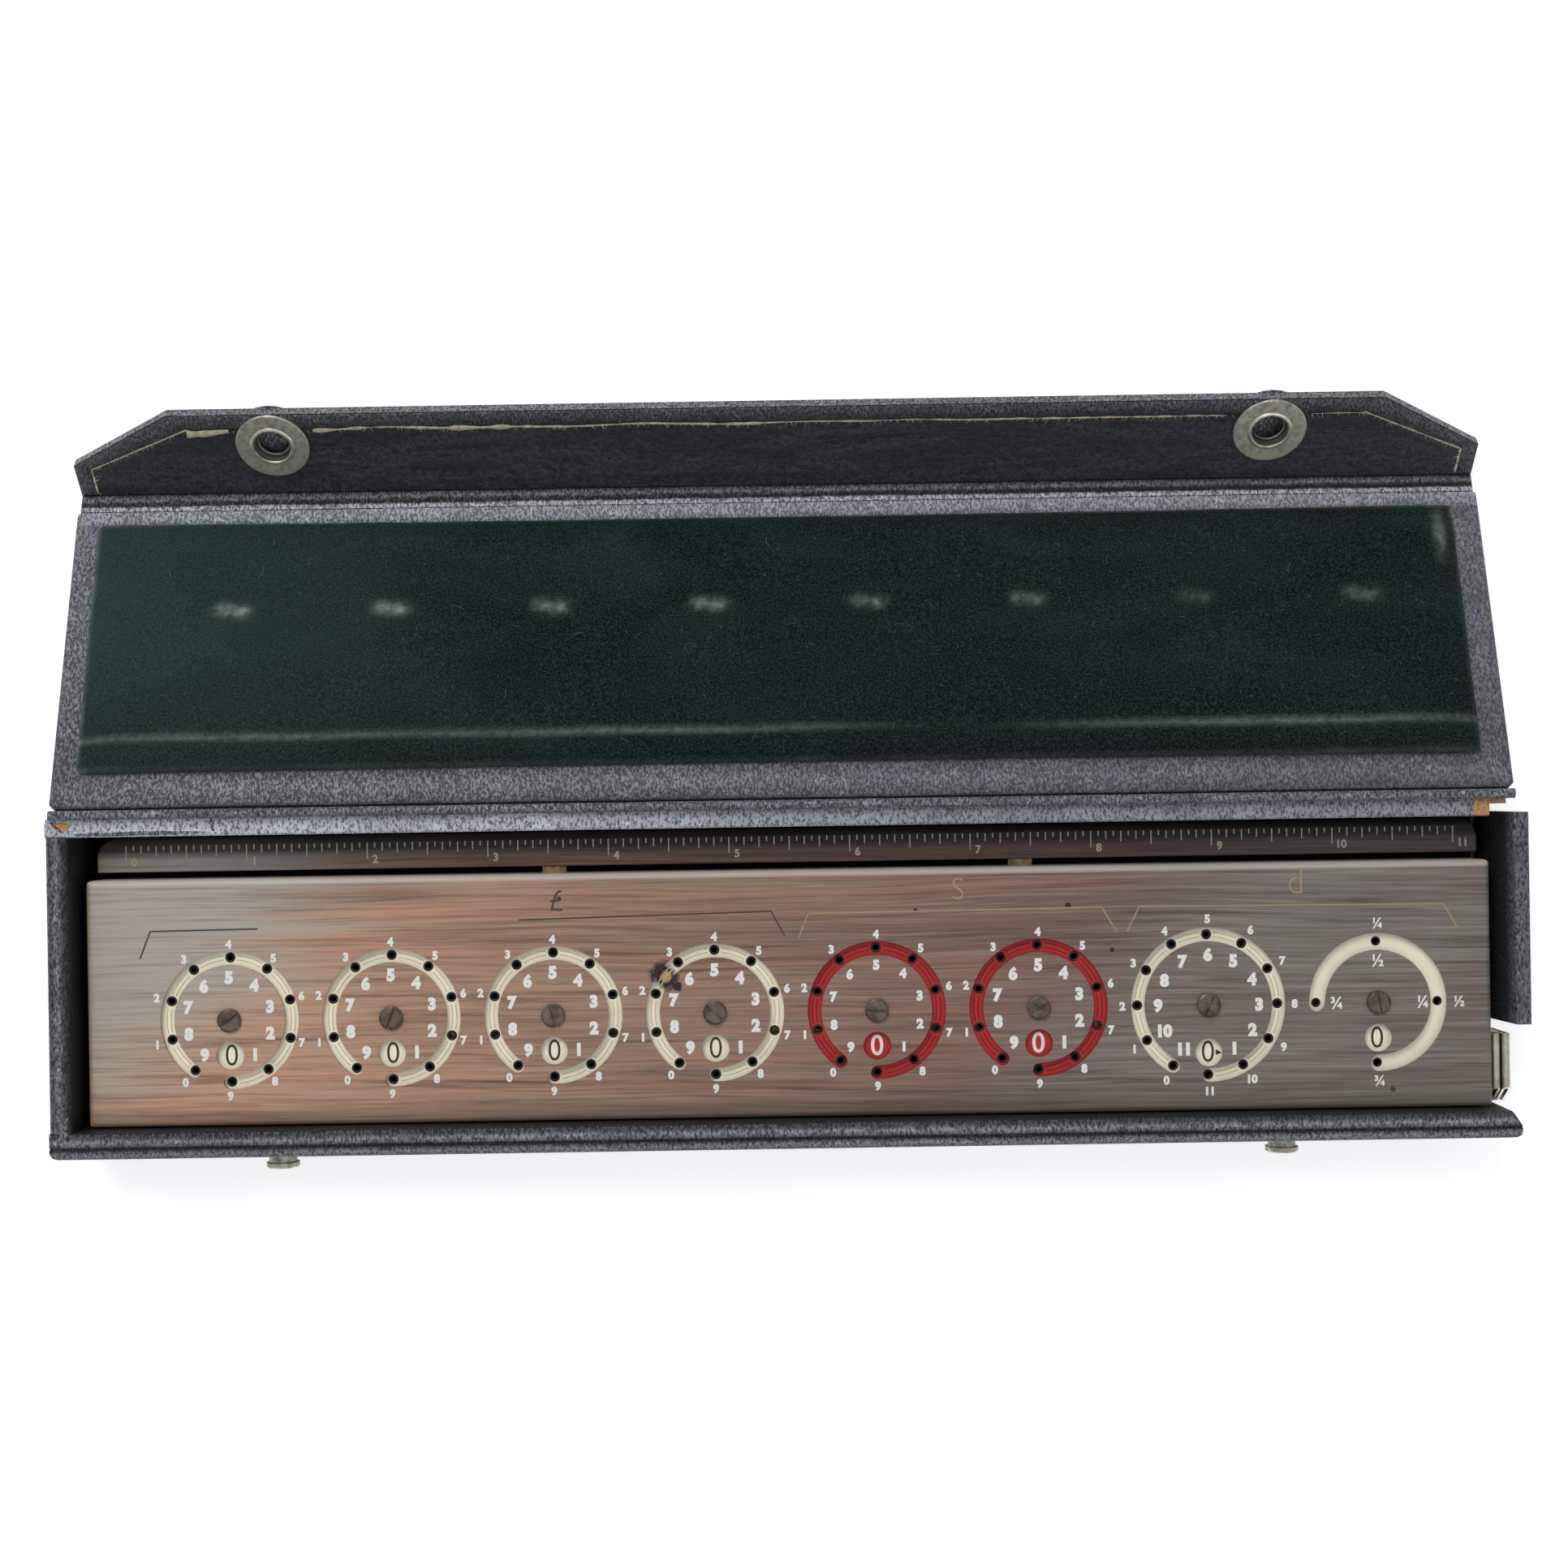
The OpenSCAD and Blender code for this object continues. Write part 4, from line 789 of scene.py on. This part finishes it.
    def bare_corner(self):
        """A worn end where the strawboard shows."""
        board, top = settings("case").board_colour, FRONT_HIGH.z
        straw = fibrous("bare_strawboard", dimmed(board, 0.55), board, 0.0009, (1, 2.5, 1),
                        Roughness=0.9)
        x, y = SIDE_LOW.x + 0.0034, REAR_HIGH.y - 0.0022
        shape = Shape()
        shape.slab([(x + 0.0021 * math.cos(a) * (1 + 0.12 * math.sin(3 * a)),
                     y + 0.0009 * math.sin(a)) for a in [math.tau * i / 24 for i in range(24)]],
                   top - 0.0003, top + 0.00008, 0.9)
        shape.piece("bare_corner_left", straw, "case", "leatherette")


class ADDER_OT_pad(bpy.types.Operator):
    """Upholsters the lid with a crowned velvet pad, its crease, dents and lint"""
    bl_idname = "adder.pad"
    bl_label = "Velvet Pad"
    cols, rows = 96, 19              # quads along the lid and across it
    overhang = 0.0009                # of the velvet past the filling's far edge
    frames = 20                      # of the filling's simulation

    def execute(self, context):
        pad = settings("pad")
        cushion = add_piece("velvet_pad", *self.slab(), velvet(), "lid", "velvet", LID_PLACE)
        self.fill(context, cushion, pad)
        self.press(cushion, pad)
        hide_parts("lid_pad")
        self.lint(context, cushion, pad)
        return {"FINISHED"}

    def slab(self):
        """A closed flat slab of small quads with a lowered rim, ready to be blown up."""
        cols, rows, inset = self.cols, self.rows, 0.0004
        wide, deep, tall = PAD_HIGH - PAD_LOW
        deep += self.overhang
        verts = [(PAD_LOW.x + inset + (wide - 2 * inset) * i / cols,
                  PAD_LOW.y + inset + (deep - 2 * inset) * j / rows,
                  PAD_LOW.z + share * tall * (0.72 if i in (0, cols) or j in (0, rows) else 1.0))
                 for share in (0.66, 0.0) for j in range(rows + 1) for i in range(cols + 1)]
        across, under = cols + 1, (cols + 1) * (rows + 1)
        faces = []
        for a in [j * across + i for j in range(rows) for i in range(cols)]:
            b = under + a
            faces += [(a, a + 1, a + across + 1, a + across),
                      (b, b + across, b + across + 1, b + 1)]
        rim = [*range(across), *[j * across + cols for j in range(1, rows + 1)],
               *[rows * across + i for i in range(cols - 1, -1, -1)],
               *[j * across for j in range(rows - 1, 0, -1)]]
        faces += [(b, a, under + a, under + b) for a, b in zip(rim, rim[1:] + rim[:1])]
        return verts, faces

    def fill(self, context, cushion, pad):
        """Blows the slab up as cloth with its foot held down, then makes the mesh finer."""
        mesh, scene = cushion.data, context.scene
        foot = cushion.vertex_groups.new(name="foot")
        foot.add([v.index for v in mesh.vertices if v.co.z < PAD_LOW.z + 0.0001], 1.0, "REPLACE")
        cloth = cushion.modifiers.new("filling", "CLOTH")
        for name, value in (("quality", 5), ("mass", 0.1), ("vertex_group_mass", "foot"),
                            ("use_pressure", True), ("uniform_pressure_force", pad.pressure)):
            setattr(cloth.settings, name, value)
        cloth.settings.effector_weights.gravity = 0
        cloth.point_cache.frame_start, cloth.point_cache.frame_end = 1, self.frames
        for number in range(1, self.frames + 1):
            scene.frame_set(number)
        swollen = cushion.evaluated_get(context.evaluated_depsgraph_get())
        moved = [v.co.copy() for v in swollen.data.vertices]
        cushion.modifiers.remove(cloth)
        scene.frame_set(1)
        for vertex, place in zip(mesh.vertices, moved):
            move = place - vertex.co
            if move.length > pad.swell_limit:
                move *= pad.swell_limit / move.length
            vertex.co += move
        finer = cushion.modifiers.new("finer", "SUBSURF")
        finer.levels = finer.render_levels = 2
        context.view_layer.update()
        smooth = bpy.data.meshes.new_from_object(
            cushion.evaluated_get(context.evaluated_depsgraph_get()))
        cushion.modifiers.remove(finer)
        cushion.vertex_groups.clear()
        cushion.data = smooth
        smooth.name = "velvet_pad"
        bpy.data.meshes.remove(mesh)

    def press(self, cushion, pad):
        """Adds the crease, the dents of the dial screws and the uneven pile."""
        half_tall = 0.5 * (PAD_HIGH.z - PAD_LOW.z)
        crease = PAD_LOW.y + 0.0072
        dents = [(DIAL_CENTRES[k].x - 0.00035 * (k - 4),
                  hinge_point("lid_hinge").y - DIAL_CENTRES[k].y, strength)
                 for k, strength in zip(DIALS, (1.0, 0.95, 0.72, 0.8, 0.55, 0.5, 0.22, 0.4))]
        crushed = []
        for vertex in cushion.data.vertices:
            x, t, z = vertex.co
            share = min(1.0, max(0.0, (z - PAD_LOW.z) / half_tall))
            if share == 0.0:
                crushed.append(0.0)
                continue
            line = bell(t - crease - 0.0007 * wave(x * 25, 0, 3), 0.00075)
            high = (0.0002 * wave(x * 60, t * 90, 0) - pad.crease_depth * line
                    + 0.00009 * wave(x * 260, t * 300, 5))
            mark = 0.44 * line * max(0.05, 0.6 + 0.9 * wave(x * 14, 1, 9))
            for number, (dent_x, dent_t, strength) in enumerate(dents):
                if abs(x - dent_x) <= 0.009 and abs(t - dent_t) <= 0.006:
                    broken = 0.7 + 0.6 * wave(x * 800, t * 800, number)
                    for side, lift, reach in ((-0.0019, 0.0003, 0.0016), (0.0017, -0.0002, 0.0019)):
                        soft = bell(x - dent_x - side, reach) * bell(t - dent_t - lift, 0.00125)
                        high -= pad.dent_depth * soft
                        mark += 1.1 * strength * soft * broken
            rim = min(x - PAD_LOW.x, PAD_HIGH.x - x, t - PAD_LOW.y, PAD_HIGH.y + self.overhang - t)
            rubbed = 0.95 if t > PAD_HIGH.y - 0.003 or x < PAD_LOW.x + 0.003 else 0.3
            mark += (rubbed * max(0.0, 1 - rim / 0.0017)
                     * (0.7 + 0.5 * wave(x * 90, t * 90, 4)))
            if x > PAD_HIGH.x - 0.008 and t > PAD_HIGH.y - 0.015:
                mark += (0.5 * bell(x - PAD_HIGH.x + 0.0042, 0.0012)
                         * bell(t - PAD_HIGH.y + 0.007, 0.0045))
            vertex.co.z += high * share
            crushed.append(max(0.0, min(1.0, mark)))
        layer = cushion.data.attributes.new("crushed", "FLOAT", "POINT")
        layer.data.foreach_set("value", crushed)
        cushion.data.update()

    def lint(self, context, cushion, pad):
        """Loose fibres that lie on the pile."""
        context.view_layer.update()
        rng, shape, edge, steps = random.Random(7), Shape(), 0.004, 3
        for _ in range(pad.lint_count):
            x = rng.uniform(PAD_LOW.x + edge, PAD_HIGH.x - edge)
            t = PAD_LOW.y + edge + (PAD_HIGH.y - PAD_LOW.y - 2 * edge) * rng.random() ** 1.15
            hit, spot, _, _ = cushion.ray_cast((x, t, PAD_HIGH.z + 0.01), (0, 0, -1))
            if not hit:
                raise RuntimeError("The velvet pad has no surface where a fibre should lie")
            way, turn = rng.uniform(0, math.tau), rng.uniform(-1.8, 1.8)
            short = rng.random() < 0.93
            reach = rng.uniform(0.0003, 0.001) if short else rng.uniform(0.0015, 0.003)
            points = []
            for _ in range(steps + 1):
                points.append((x, t, spot.z + 0.00004))
                x += math.cos(way) * reach / steps
                t += math.sin(way) * reach / steps
                way += turn / steps
            shape.tube(points, rng.uniform(0.000025, 0.00004), 4)
        shape.piece("pad_lint", ink("lint_fibre", tint(98, 116, 109), 0.6), "lid", "velvet",
                    LID_PLACE, True)


class ADDER_OT_flap(bpy.types.Operator):
    """Lines the flap, turns its covering in round the edge and frays the pale backing"""
    bl_idname = "adder.flap"
    bl_label = "Flap Lining and Hem"

    def execute(self, context):
        inner = self.outline(settings("case").hem_width)
        self.lining()
        self.hem(self.outline(0.0002), inner)
        self.fray(inner)
        return {"FINISHED"}

    def outline(self, inset):
        """The flap's edge from the near left corner round to the near right one."""
        chamfer_wide, chamfer_deep, slope = 0.022, 0.0125, inset * 0.27
        half, far, near = FLAP_HIGH.x - inset, FLAP_HIGH.y - inset, FLAP_LOW.y + 0.0004
        corner, side = half - chamfer_wide - slope * 0.4, FLAP_HIGH.y - chamfer_deep - slope
        right = [(corner, far), (half, side), (half, near)]
        return [Vector(p) for p in [(-x, y) for x, y in reversed(right)] + right]

    def lining(self):
        """Covering outside, smoother dark cloth on the face that looks inwards."""
        board = frame["nodes"]["flap_board"].data
        paint(leatherette("leatherette_flap", 0.9, 0.6), "flap_board")
        board.materials.append(dark_cloth("flap_lining_cloth"))
        inward = FLAP_PLACE.to_3x3() @ Vector((0, 0, 1))
        for polygon in board.polygons:
            if polygon.normal.dot(inward) > 0.9:
                polygon.material_index = len(board.materials) - 1

    def hem(self, outer, inner):
        section = ((0.0, -0.0012), (-0.02, -0.0004), (0.02, 0.00012), (0.1, 0.0003),
                   (0.55, 0.0003), (0.93, 0.00024), (1.0, 0.0))    # share inwards, height
        shape, steps, width = Shape(), 40, len(section)
        for a, b, c, d in zip(outer, outer[1:], inner, inner[1:]):
            verts = []
            for n in range(steps + 1):
                edge, inside = a.lerp(b, n / steps), c.lerp(d, n / steps)
                wobble = 0.00025 * wave(edge.x * 90, edge.y * 90, 2)
                verts += [(*edge.lerp(inside, share), FLAP_HIGH.z + lift + wobble * 0.3)
                          for share, lift in section]
            shape.join(verts, [
                (n * width + m, n * width + m + 1, (n + 1) * width + m + 1, (n + 1) * width + m)
                for n in range(steps) for m in range(width - 1)])
        shape.piece("flap_hem", leatherette("leatherette_hem", 0.42, 0.2, contrast=0.8),
                    "flap", "leatherette", FLAP_PLACE, True)

    def fray(self, inner):
        """A torn ridge in short runs, with loose threads; none lies under a socket's ring."""
        ring = 0.0081
        left_end, right_end, tuft = -0.055, 0.11, -0.122      # heavier, thinner, thickest

        def clear(point):
            return all((point - centre).length > ring for centre in SOCKETS)

        top, rng, fray = FLAP_HIGH.z, random.Random(11), Shape()
        for c, d in zip(inner, inner[1:]):
            way, length = (d - c).normalized(), (d - c).length
            across = Vector((way.y, -way.x))
            count = max(6, int(length / 0.0011))
            line, thick = [], []
            for n in range(count + 1):
                point = c.lerp(d, n / count)
                heavy, stray = 0.00026, 0.0002
                if abs(way.x) > 0.95:
                    heavy += 0.0007 * max(0.0, wave(point.x * 26, 0, 1))
                    stray += 0.0004 + 0.0007 * wave(point.x * 55, 0, 8)
                    heavy += 0.00028 if point.x < left_end else 0.0
                    heavy += 0.0006 * bell(point.x - tuft, 0.0035)
                    stray += 0.0007 * bell(point.x - tuft, 0.005)
                    if point.x > right_end:
                        heavy *= 0.3
                uneven = wave(point.x * 300, point.y * 300, 3)
                thick.append(heavy * max(0.15, 0.75 + 0.9 * uneven))
                line.append(point + across * stray)
            for start in range(0, count, 2):
                part = [p for p in line[start:start + 3] if clear(p)]
                if len(part) == 3:
                    fray.tube([(p.x, p.y, top + 0.00008) for p in part],
                              thick[start:start + 3], 6, 0.4)
            for _ in range(int(length / 0.0009)):
                point = line[rng.randrange(len(line))]
                reach = rng.uniform(0.0003, 0.0012)
                tip = point + across * reach + way * reach * rng.uniform(-0.8, 0.8)
                if clear(point) and clear(tip):
                    fray.tube([(*point, top + 0.0001), (*tip, top + 0.00014)],
                              [0.00006, 0.00003], 4)
        backing = fibrous("torn_backing_cloth", tint(120, 114, 98), settings("case").thread_colour,
                          0.0006, (0.5, 2, 1), 0.6, 0.75, 0.00015, Roughness=0.92)
        fray.piece("flap_fray", backing, "flap", "leatherette", FLAP_PLACE, True)


class ADDER_OT_face(bpy.types.Operator):
    """Prints the wood grain, digits, brackets and money marks on the face"""
    bl_idname = "adder.face"
    bl_label = "Printed Face"

    def execute(self, context):
        adder = settings("adder")
        top = FACE_HIGH.z
        chips = [((x, y, top), radius, tint(*colour)) for x, y, radius, colour in (
            (CHIP.x - 0.0002, CHIP.y + 0.0004, 0.0046, (46, 36, 30)),
            (CHIP.x + 0.0024, CHIP.y - 0.0018, 0.0016, (40, 32, 28)),
            (-0.0466, 0.0166, 0.0009, (60, 54, 50)),
            (0.0275, 0.0131, 0.0007, (34, 28, 26)),
            (0.0592, 0.0137, 0.0009, (40, 32, 28)),
            (0.0682, 0.0043, 0.0008, (44, 38, 36)),
            (0.1262, -0.0256, 0.0009, (70, 66, 62)))]
        paint(printed_grain("printed_wood_grain", chips), "face_plate")
        self.digits(adder, top + FILM[1])
        self.brackets(adder, top)
        return {"FINISHED"}

    def digits(self, adder, level):
        """Digits outside each slot and, counting the other way, inside it."""
        white = ink("white_print", adder.ink)
        for k, centre in DIAL_CENTRES.items():
            shape = Shape()
            count, outer, inner = HOLES[k], adder.outer_digit, adder.inner_digit
            if k == FARTHING:
                marks = [("¼", 90, 0.0165, 0.0023), ("½", 0, 0.0168, 0.0023),
                         ("¾", -90, 0.0163, 0.0023), ("½", 90, 0.0087, 0.0026),
                         ("¼", 0, 0.0092, 0.0026), ("¾", 180, 0.0087, 0.0026)]
            else:
                top, far, near = (5, 0.0179, 0.0105) if k == PENCE else (4, 0.0158, 0.0089)
                if k == RED_DIALS[0]:
                    near, inner = 0.0094, inner * 0.78
                marks = [(str(n), 90 - (n - top) * 360 / count, far, outer) for n in range(count)]
                marks += [(str(n), 90 + (n - top - 1) * 360 / count, near, inner)
                          for n in range(1, count)]
            for text, angle, reach, height in marks:
                bold = 0.02 if k == FARTHING else 0.07 if height > 0.002 else 0.06
                LETTERS.print(shape, text, height, *polar(centre, reach, math.radians(angle)),
                              level, bold=bold)
            shape.piece(f"dial_digits_{k}", white, "adder", "cream_enamel")

    def brackets(self, adder, top):
        gilt = ink("gilt_print", adder.gilt, 0.5)
        # Dark brown print for the pounds bracket and mark.
        dark_brown = ink("dark_brown_print", tint(66, 56, 50), 0.3)
        for name, print_ink, runs, marks in (
                ("pounds_bracket", dark_brown, (
                    ((-0.1338, 0.0055), (-0.1316, 0.0112), (-0.1093, 0.0114)),
                    ((-0.0550, 0.0124), (-0.0025, 0.0134), (0.0002, 0.0083))),
                 (("£", -0.0471, 0.0163, 0.0043),)),
                ("shillings_and_pence_brackets", gilt, (
                    ((0.0032, 0.0079), (0.0052, 0.0128), (0.0662, 0.0132), (0.0692, 0.0081)),
                    ((0.0714, 0.0080), (0.0740, 0.0132), (0.1372, 0.0128), (0.1400, 0.0080))),
                 (("S", 0.0364, 0.0175, 0.0046), ("d", 0.1065, 0.0180, 0.0052)))):
            lines = Shape()
            for run in runs:
                lines.stroke(run, 0.00032, top + FILM[0], top + FILM[1])
            for text, x, y, height in marks:
                LETTERS.print(lines, text, height, x, y, top + FILM[1], bold=-0.012, wide=0.95)
            lines.piece(name, print_ink, "adder", "brass")


class ADDER_OT_ruler(bpy.types.Operator):
    """Prints the inch marks and their numbers on the ledge behind the dials"""
    bl_idname = "adder.ruler"
    bl_label = "Inch Rule"

    def execute(self, context):
        paint(printed_grain("ledge_wood_grain", ledge=True),
              *[node for node in frame["nodes"] if "ledge" in node])
        paint(metal("lug_brass", tint(168, 146, 104), tint(110, 96, 74), 0.4), "ruler_lugs")
        top, back = LEDGE_HIGH.z, LEDGE_HIGH.y - 0.0013
        zero, inch, inches, parts = -0.1382, 0.0254, 11, 16
        reaches = {16: 0.0034, 8: 0.0028, 4: 0.0022, 2: 0.0017, 1: 0.001}
        ticks, numbers = Shape(), Shape()
        for n in range(inches * parts + 1):
            reach = next(reaches[share] for share in reaches if n % share == 0)
            x = zero + n * inch / parts
            ticks.stroke([(x, back), (x, back - reach)], 0.00026, top + FILM[0], top + FILM[1])
        ticks.piece("rule_marks", ink("rule_print", tint(190, 182, 160), 0.5), "adder",
                    "cream_enamel")
        for n in range(inches + 1):
            LETTERS.print(numbers, str(n), 0.0018, zero + n * inch + (0.0017 if n < 10 else 0.0021),
                          LEDGE_LOW.y + 0.0021, top + FILM[1], bold=0.03)
        numbers.piece("rule_numbers", ink("rule_number_print", tint(206, 196, 176), 0.4),
                      "adder", "cream_enamel")
        return {"FINISHED"}


class ADDER_OT_wheels(bpy.types.Operator):
    """Enamels the number wheels and gives them digits and pressed grooves"""
    bl_idname = "adder.wheels"
    bl_label = "Number Wheels"

    def execute(self, context):
        adder = settings("adder")
        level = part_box(f"number_wheel_{CHIPPED}")[1].z
        red = (enamel("red_enamel", adder.red),
               ink("white_wheel_print", tint(242, 238, 230)),
               enamel("red_groove_shade", tint(150, 34, 38), 0.5), "red_enamel")
        cream = (enamel("cream_enamel", adder.cream),
                 ink("dark_wheel_print", tint(52, 44, 34), 0.3),
                 enamel("groove_shade", tint(226, 216, 184), 0.5), "cream_enamel")
        smudged = (enamel("smudged_enamel", adder.cream, spots=[
            ((*CHIP, level), 0.0042, tint(48, 38, 32)),
            ((CHIP.x + 0.0001, CHIP.y + 0.0001, level), 0.0021, tint(206, 164, 122))]), *cream[1:])
        # Dark rims: worn grime at the top of each hole, painted shade inside it.
        grime = ink("hole_grime_and_shade", tint(30, 25, 21), 0.3)
        for k in DIALS:
            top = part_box(f"number_wheel_{k}")[1].z
            skin, digit_ink, groove, slot = (
                red if k in RED_DIALS else smudged if k == CHIPPED else cream)
            paint(skin, f"number_wheel_{k}")
            self.digits(k, top, adder.wheel_digit).piece(
                f"wheel_digits_{k}", digit_ink, f"dial_{k}", "cream_enamel")
            self.rims(k, top).piece(f"hole_rims_{k}", grime, f"dial_{k}", "bronze", smooth=True)
            if k != FARTHING:
                self.grooves(k, top).piece(f"wheel_groove_{k}", groove, f"dial_{k}", slot,
                                           smooth=True)
        return {"FINISHED"}

    def turns(self, k):
        return [n * math.tau / HOLES[k] for n in range(HOLES[k])]

    def digits(self, k, top, height):
        """One digit for each window place, and a small speck by the pence's nought."""
        centre, reach = DIAL_CENTRES[k], 0.0098 if k == PENCE else 0.0074
        shape = Shape()
        for n, turn in enumerate(self.turns(k)):
            text = ("0", "¼", "½", "¾")[n] if k == FARTHING else str(n)
            x, y = polar(centre, reach, turn - math.pi / 2)
            LETTERS.print(shape, text, height, x, y, top + 0.00003, turn,
                          0.012 if k in RED_DIALS else -0.008, 0.92 if len(text) == 1 else 0.7)
        if k == PENCE:
            spot = Vector((centre.x + 0.0021, centre.y - reach - 0.0002))
            shape.slab([spot + Vector(corner) for corner in (
                (-0.0005, -0.0006), (0.0008, -0.0001), (-0.0005, 0.0006))],
                top - 0.00002, top + 0.00004)
        return shape

    def grooves(self, k, top):
        """Two fine grooves from hole to hole along the wheel's band."""
        shape, mid, steps = Shape(), HOLE_REACH[k], 9
        gap = 0.0015 / mid
        span = math.tau / HOLES[k] - 2 * gap
        for offset in (-0.00042, 0.00042):
            for turn in self.turns(k):
                start = turn - math.pi / 2 + gap
                shape.tube([(*polar(DIAL_CENTRES[k], mid + offset, start + span * i / steps), top)
                            for i in range(steps + 1)], 0.00013, 6)
        return shape

    def rims(self, k, top):
        """Dark rims round the stylus holes: worn grime on the top ring, painted shade on the two
        rings lower down the hole's wall.
        """
        shape = Shape()
        for turn in self.turns(k):
            hole = Vector(polar(DIAL_CENTRES[k], HOLE_REACH[k], turn - math.pi / 2))
            for deep in (0, 0.0004, 0.0008):
                shape.tube(circle(hole, 0.00083, 28, top - deep),
                           0.00016 if k == FARTHING else 0.00024, 6, 0.5, True)
        return shape


class ADDER_OT_metal(bpy.types.Operator):
    """Finishes the screws, snaps, finger pull and the movement"""
    bl_idname = "adder.metal"
    bl_label = "Metal Fittings"

    def execute(self, context):
        paint(metal("bronze_screw", tint(138, 124, 112), tint(92, 80, 72), 0.36, 0.002,
                    tint(58, 48, 42)), "wheel_screws")
        paint(metal("aged_nickel", tint(206, 203, 186), tint(150, 149, 134), 0.36, 0.0013,
                    tint(112, 108, 90)), "snap_studs", "stud_rivets", "snap_sockets")
        lips = Shape()
        for middle in SOCKETS:
            lips.tube(circle(middle, 0.00425, 48, FLAP_HIGH.z + 0.00068), 0.0005, 8, 0.4, True)
        shine = metal("lip_nickel", tint(238, 234, 216), tint(196, 190, 168), 0.26, 0.002)
        lips.piece("socket_lips", shine, "flap", "nickel", FLAP_PLACE, True)
        paint(metal("bright_nickel", tint(232, 230, 216), tint(176, 170, 150), 0.24, 0.004),
              "clear_pull", "pull_rivets")
        paint(metal("spring_steel", tint(150, 150, 152), tint(96, 96, 98), 0.35, 0.004),
              "socket_springs", "base_plate", "pivot_posts", "pinion_pins", "pinion_clips",
              "detent_springs", "spring_posts", "bar_guides", "clear_bar", "bar_arm", "bar_tail")
        paint(metal("wheel_brass", tint(206, 170, 98), tint(140, 112, 62), 0.3, 0.004),
              *[name for name in frame["nodes"] if name.startswith(("gear_wheel", "carry_pinion"))])
        return {"FINISHED"}


class ADDER_PT_panel(bpy.types.Panel):
    """Lists the pieces and their settings in the sidebar"""
    bl_idname = "ADDER_PT_panel"
    bl_label = "Dial Adder"
    bl_space_type = "VIEW_3D"
    bl_region_type = "UI"
    bl_category = "Dial Adder"

    def draw(self, context):
        for part, _, operators in GROUPS:
            box = self.layout.box()
            box.label(text=part.title())
            group = settings(part)
            for name in group.__annotations__:
                box.prop(group, name)
            for operator in operators:
                box.operator(operator.bl_idname)


GROUPS = (
    ("stage", StageSettings, (ADDER_OT_stage,)),
    ("case", CaseSettings, (ADDER_OT_case, ADDER_OT_flap)),
    ("pad", PadSettings, (ADDER_OT_pad,)),
    ("adder", AdderSettings, (ADDER_OT_face, ADDER_OT_ruler, ADDER_OT_wheels, ADDER_OT_metal)),
)


def register():
    for part, group, operators in GROUPS:
        for item in (group, *operators):
            bpy.utils.register_class(item)
        setattr(bpy.types.Scene, "adder_" + part, PointerProperty(type=group))
    bpy.utils.register_class(ADDER_PT_panel)


def unregister():
    bpy.utils.unregister_class(ADDER_PT_panel)
    for part, group, operators in reversed(GROUPS):
        delattr(bpy.types.Scene, "adder_" + part)
        for item in reversed((group, *operators)):
            bpy.utils.unregister_class(item)


def main():
    register()
    for _, _, operators in GROUPS:
        for operator in operators:
            category, name = operator.bl_idname.split(".")
            getattr(getattr(bpy.ops, category), name)()


if __name__ == "__main__":
    main()
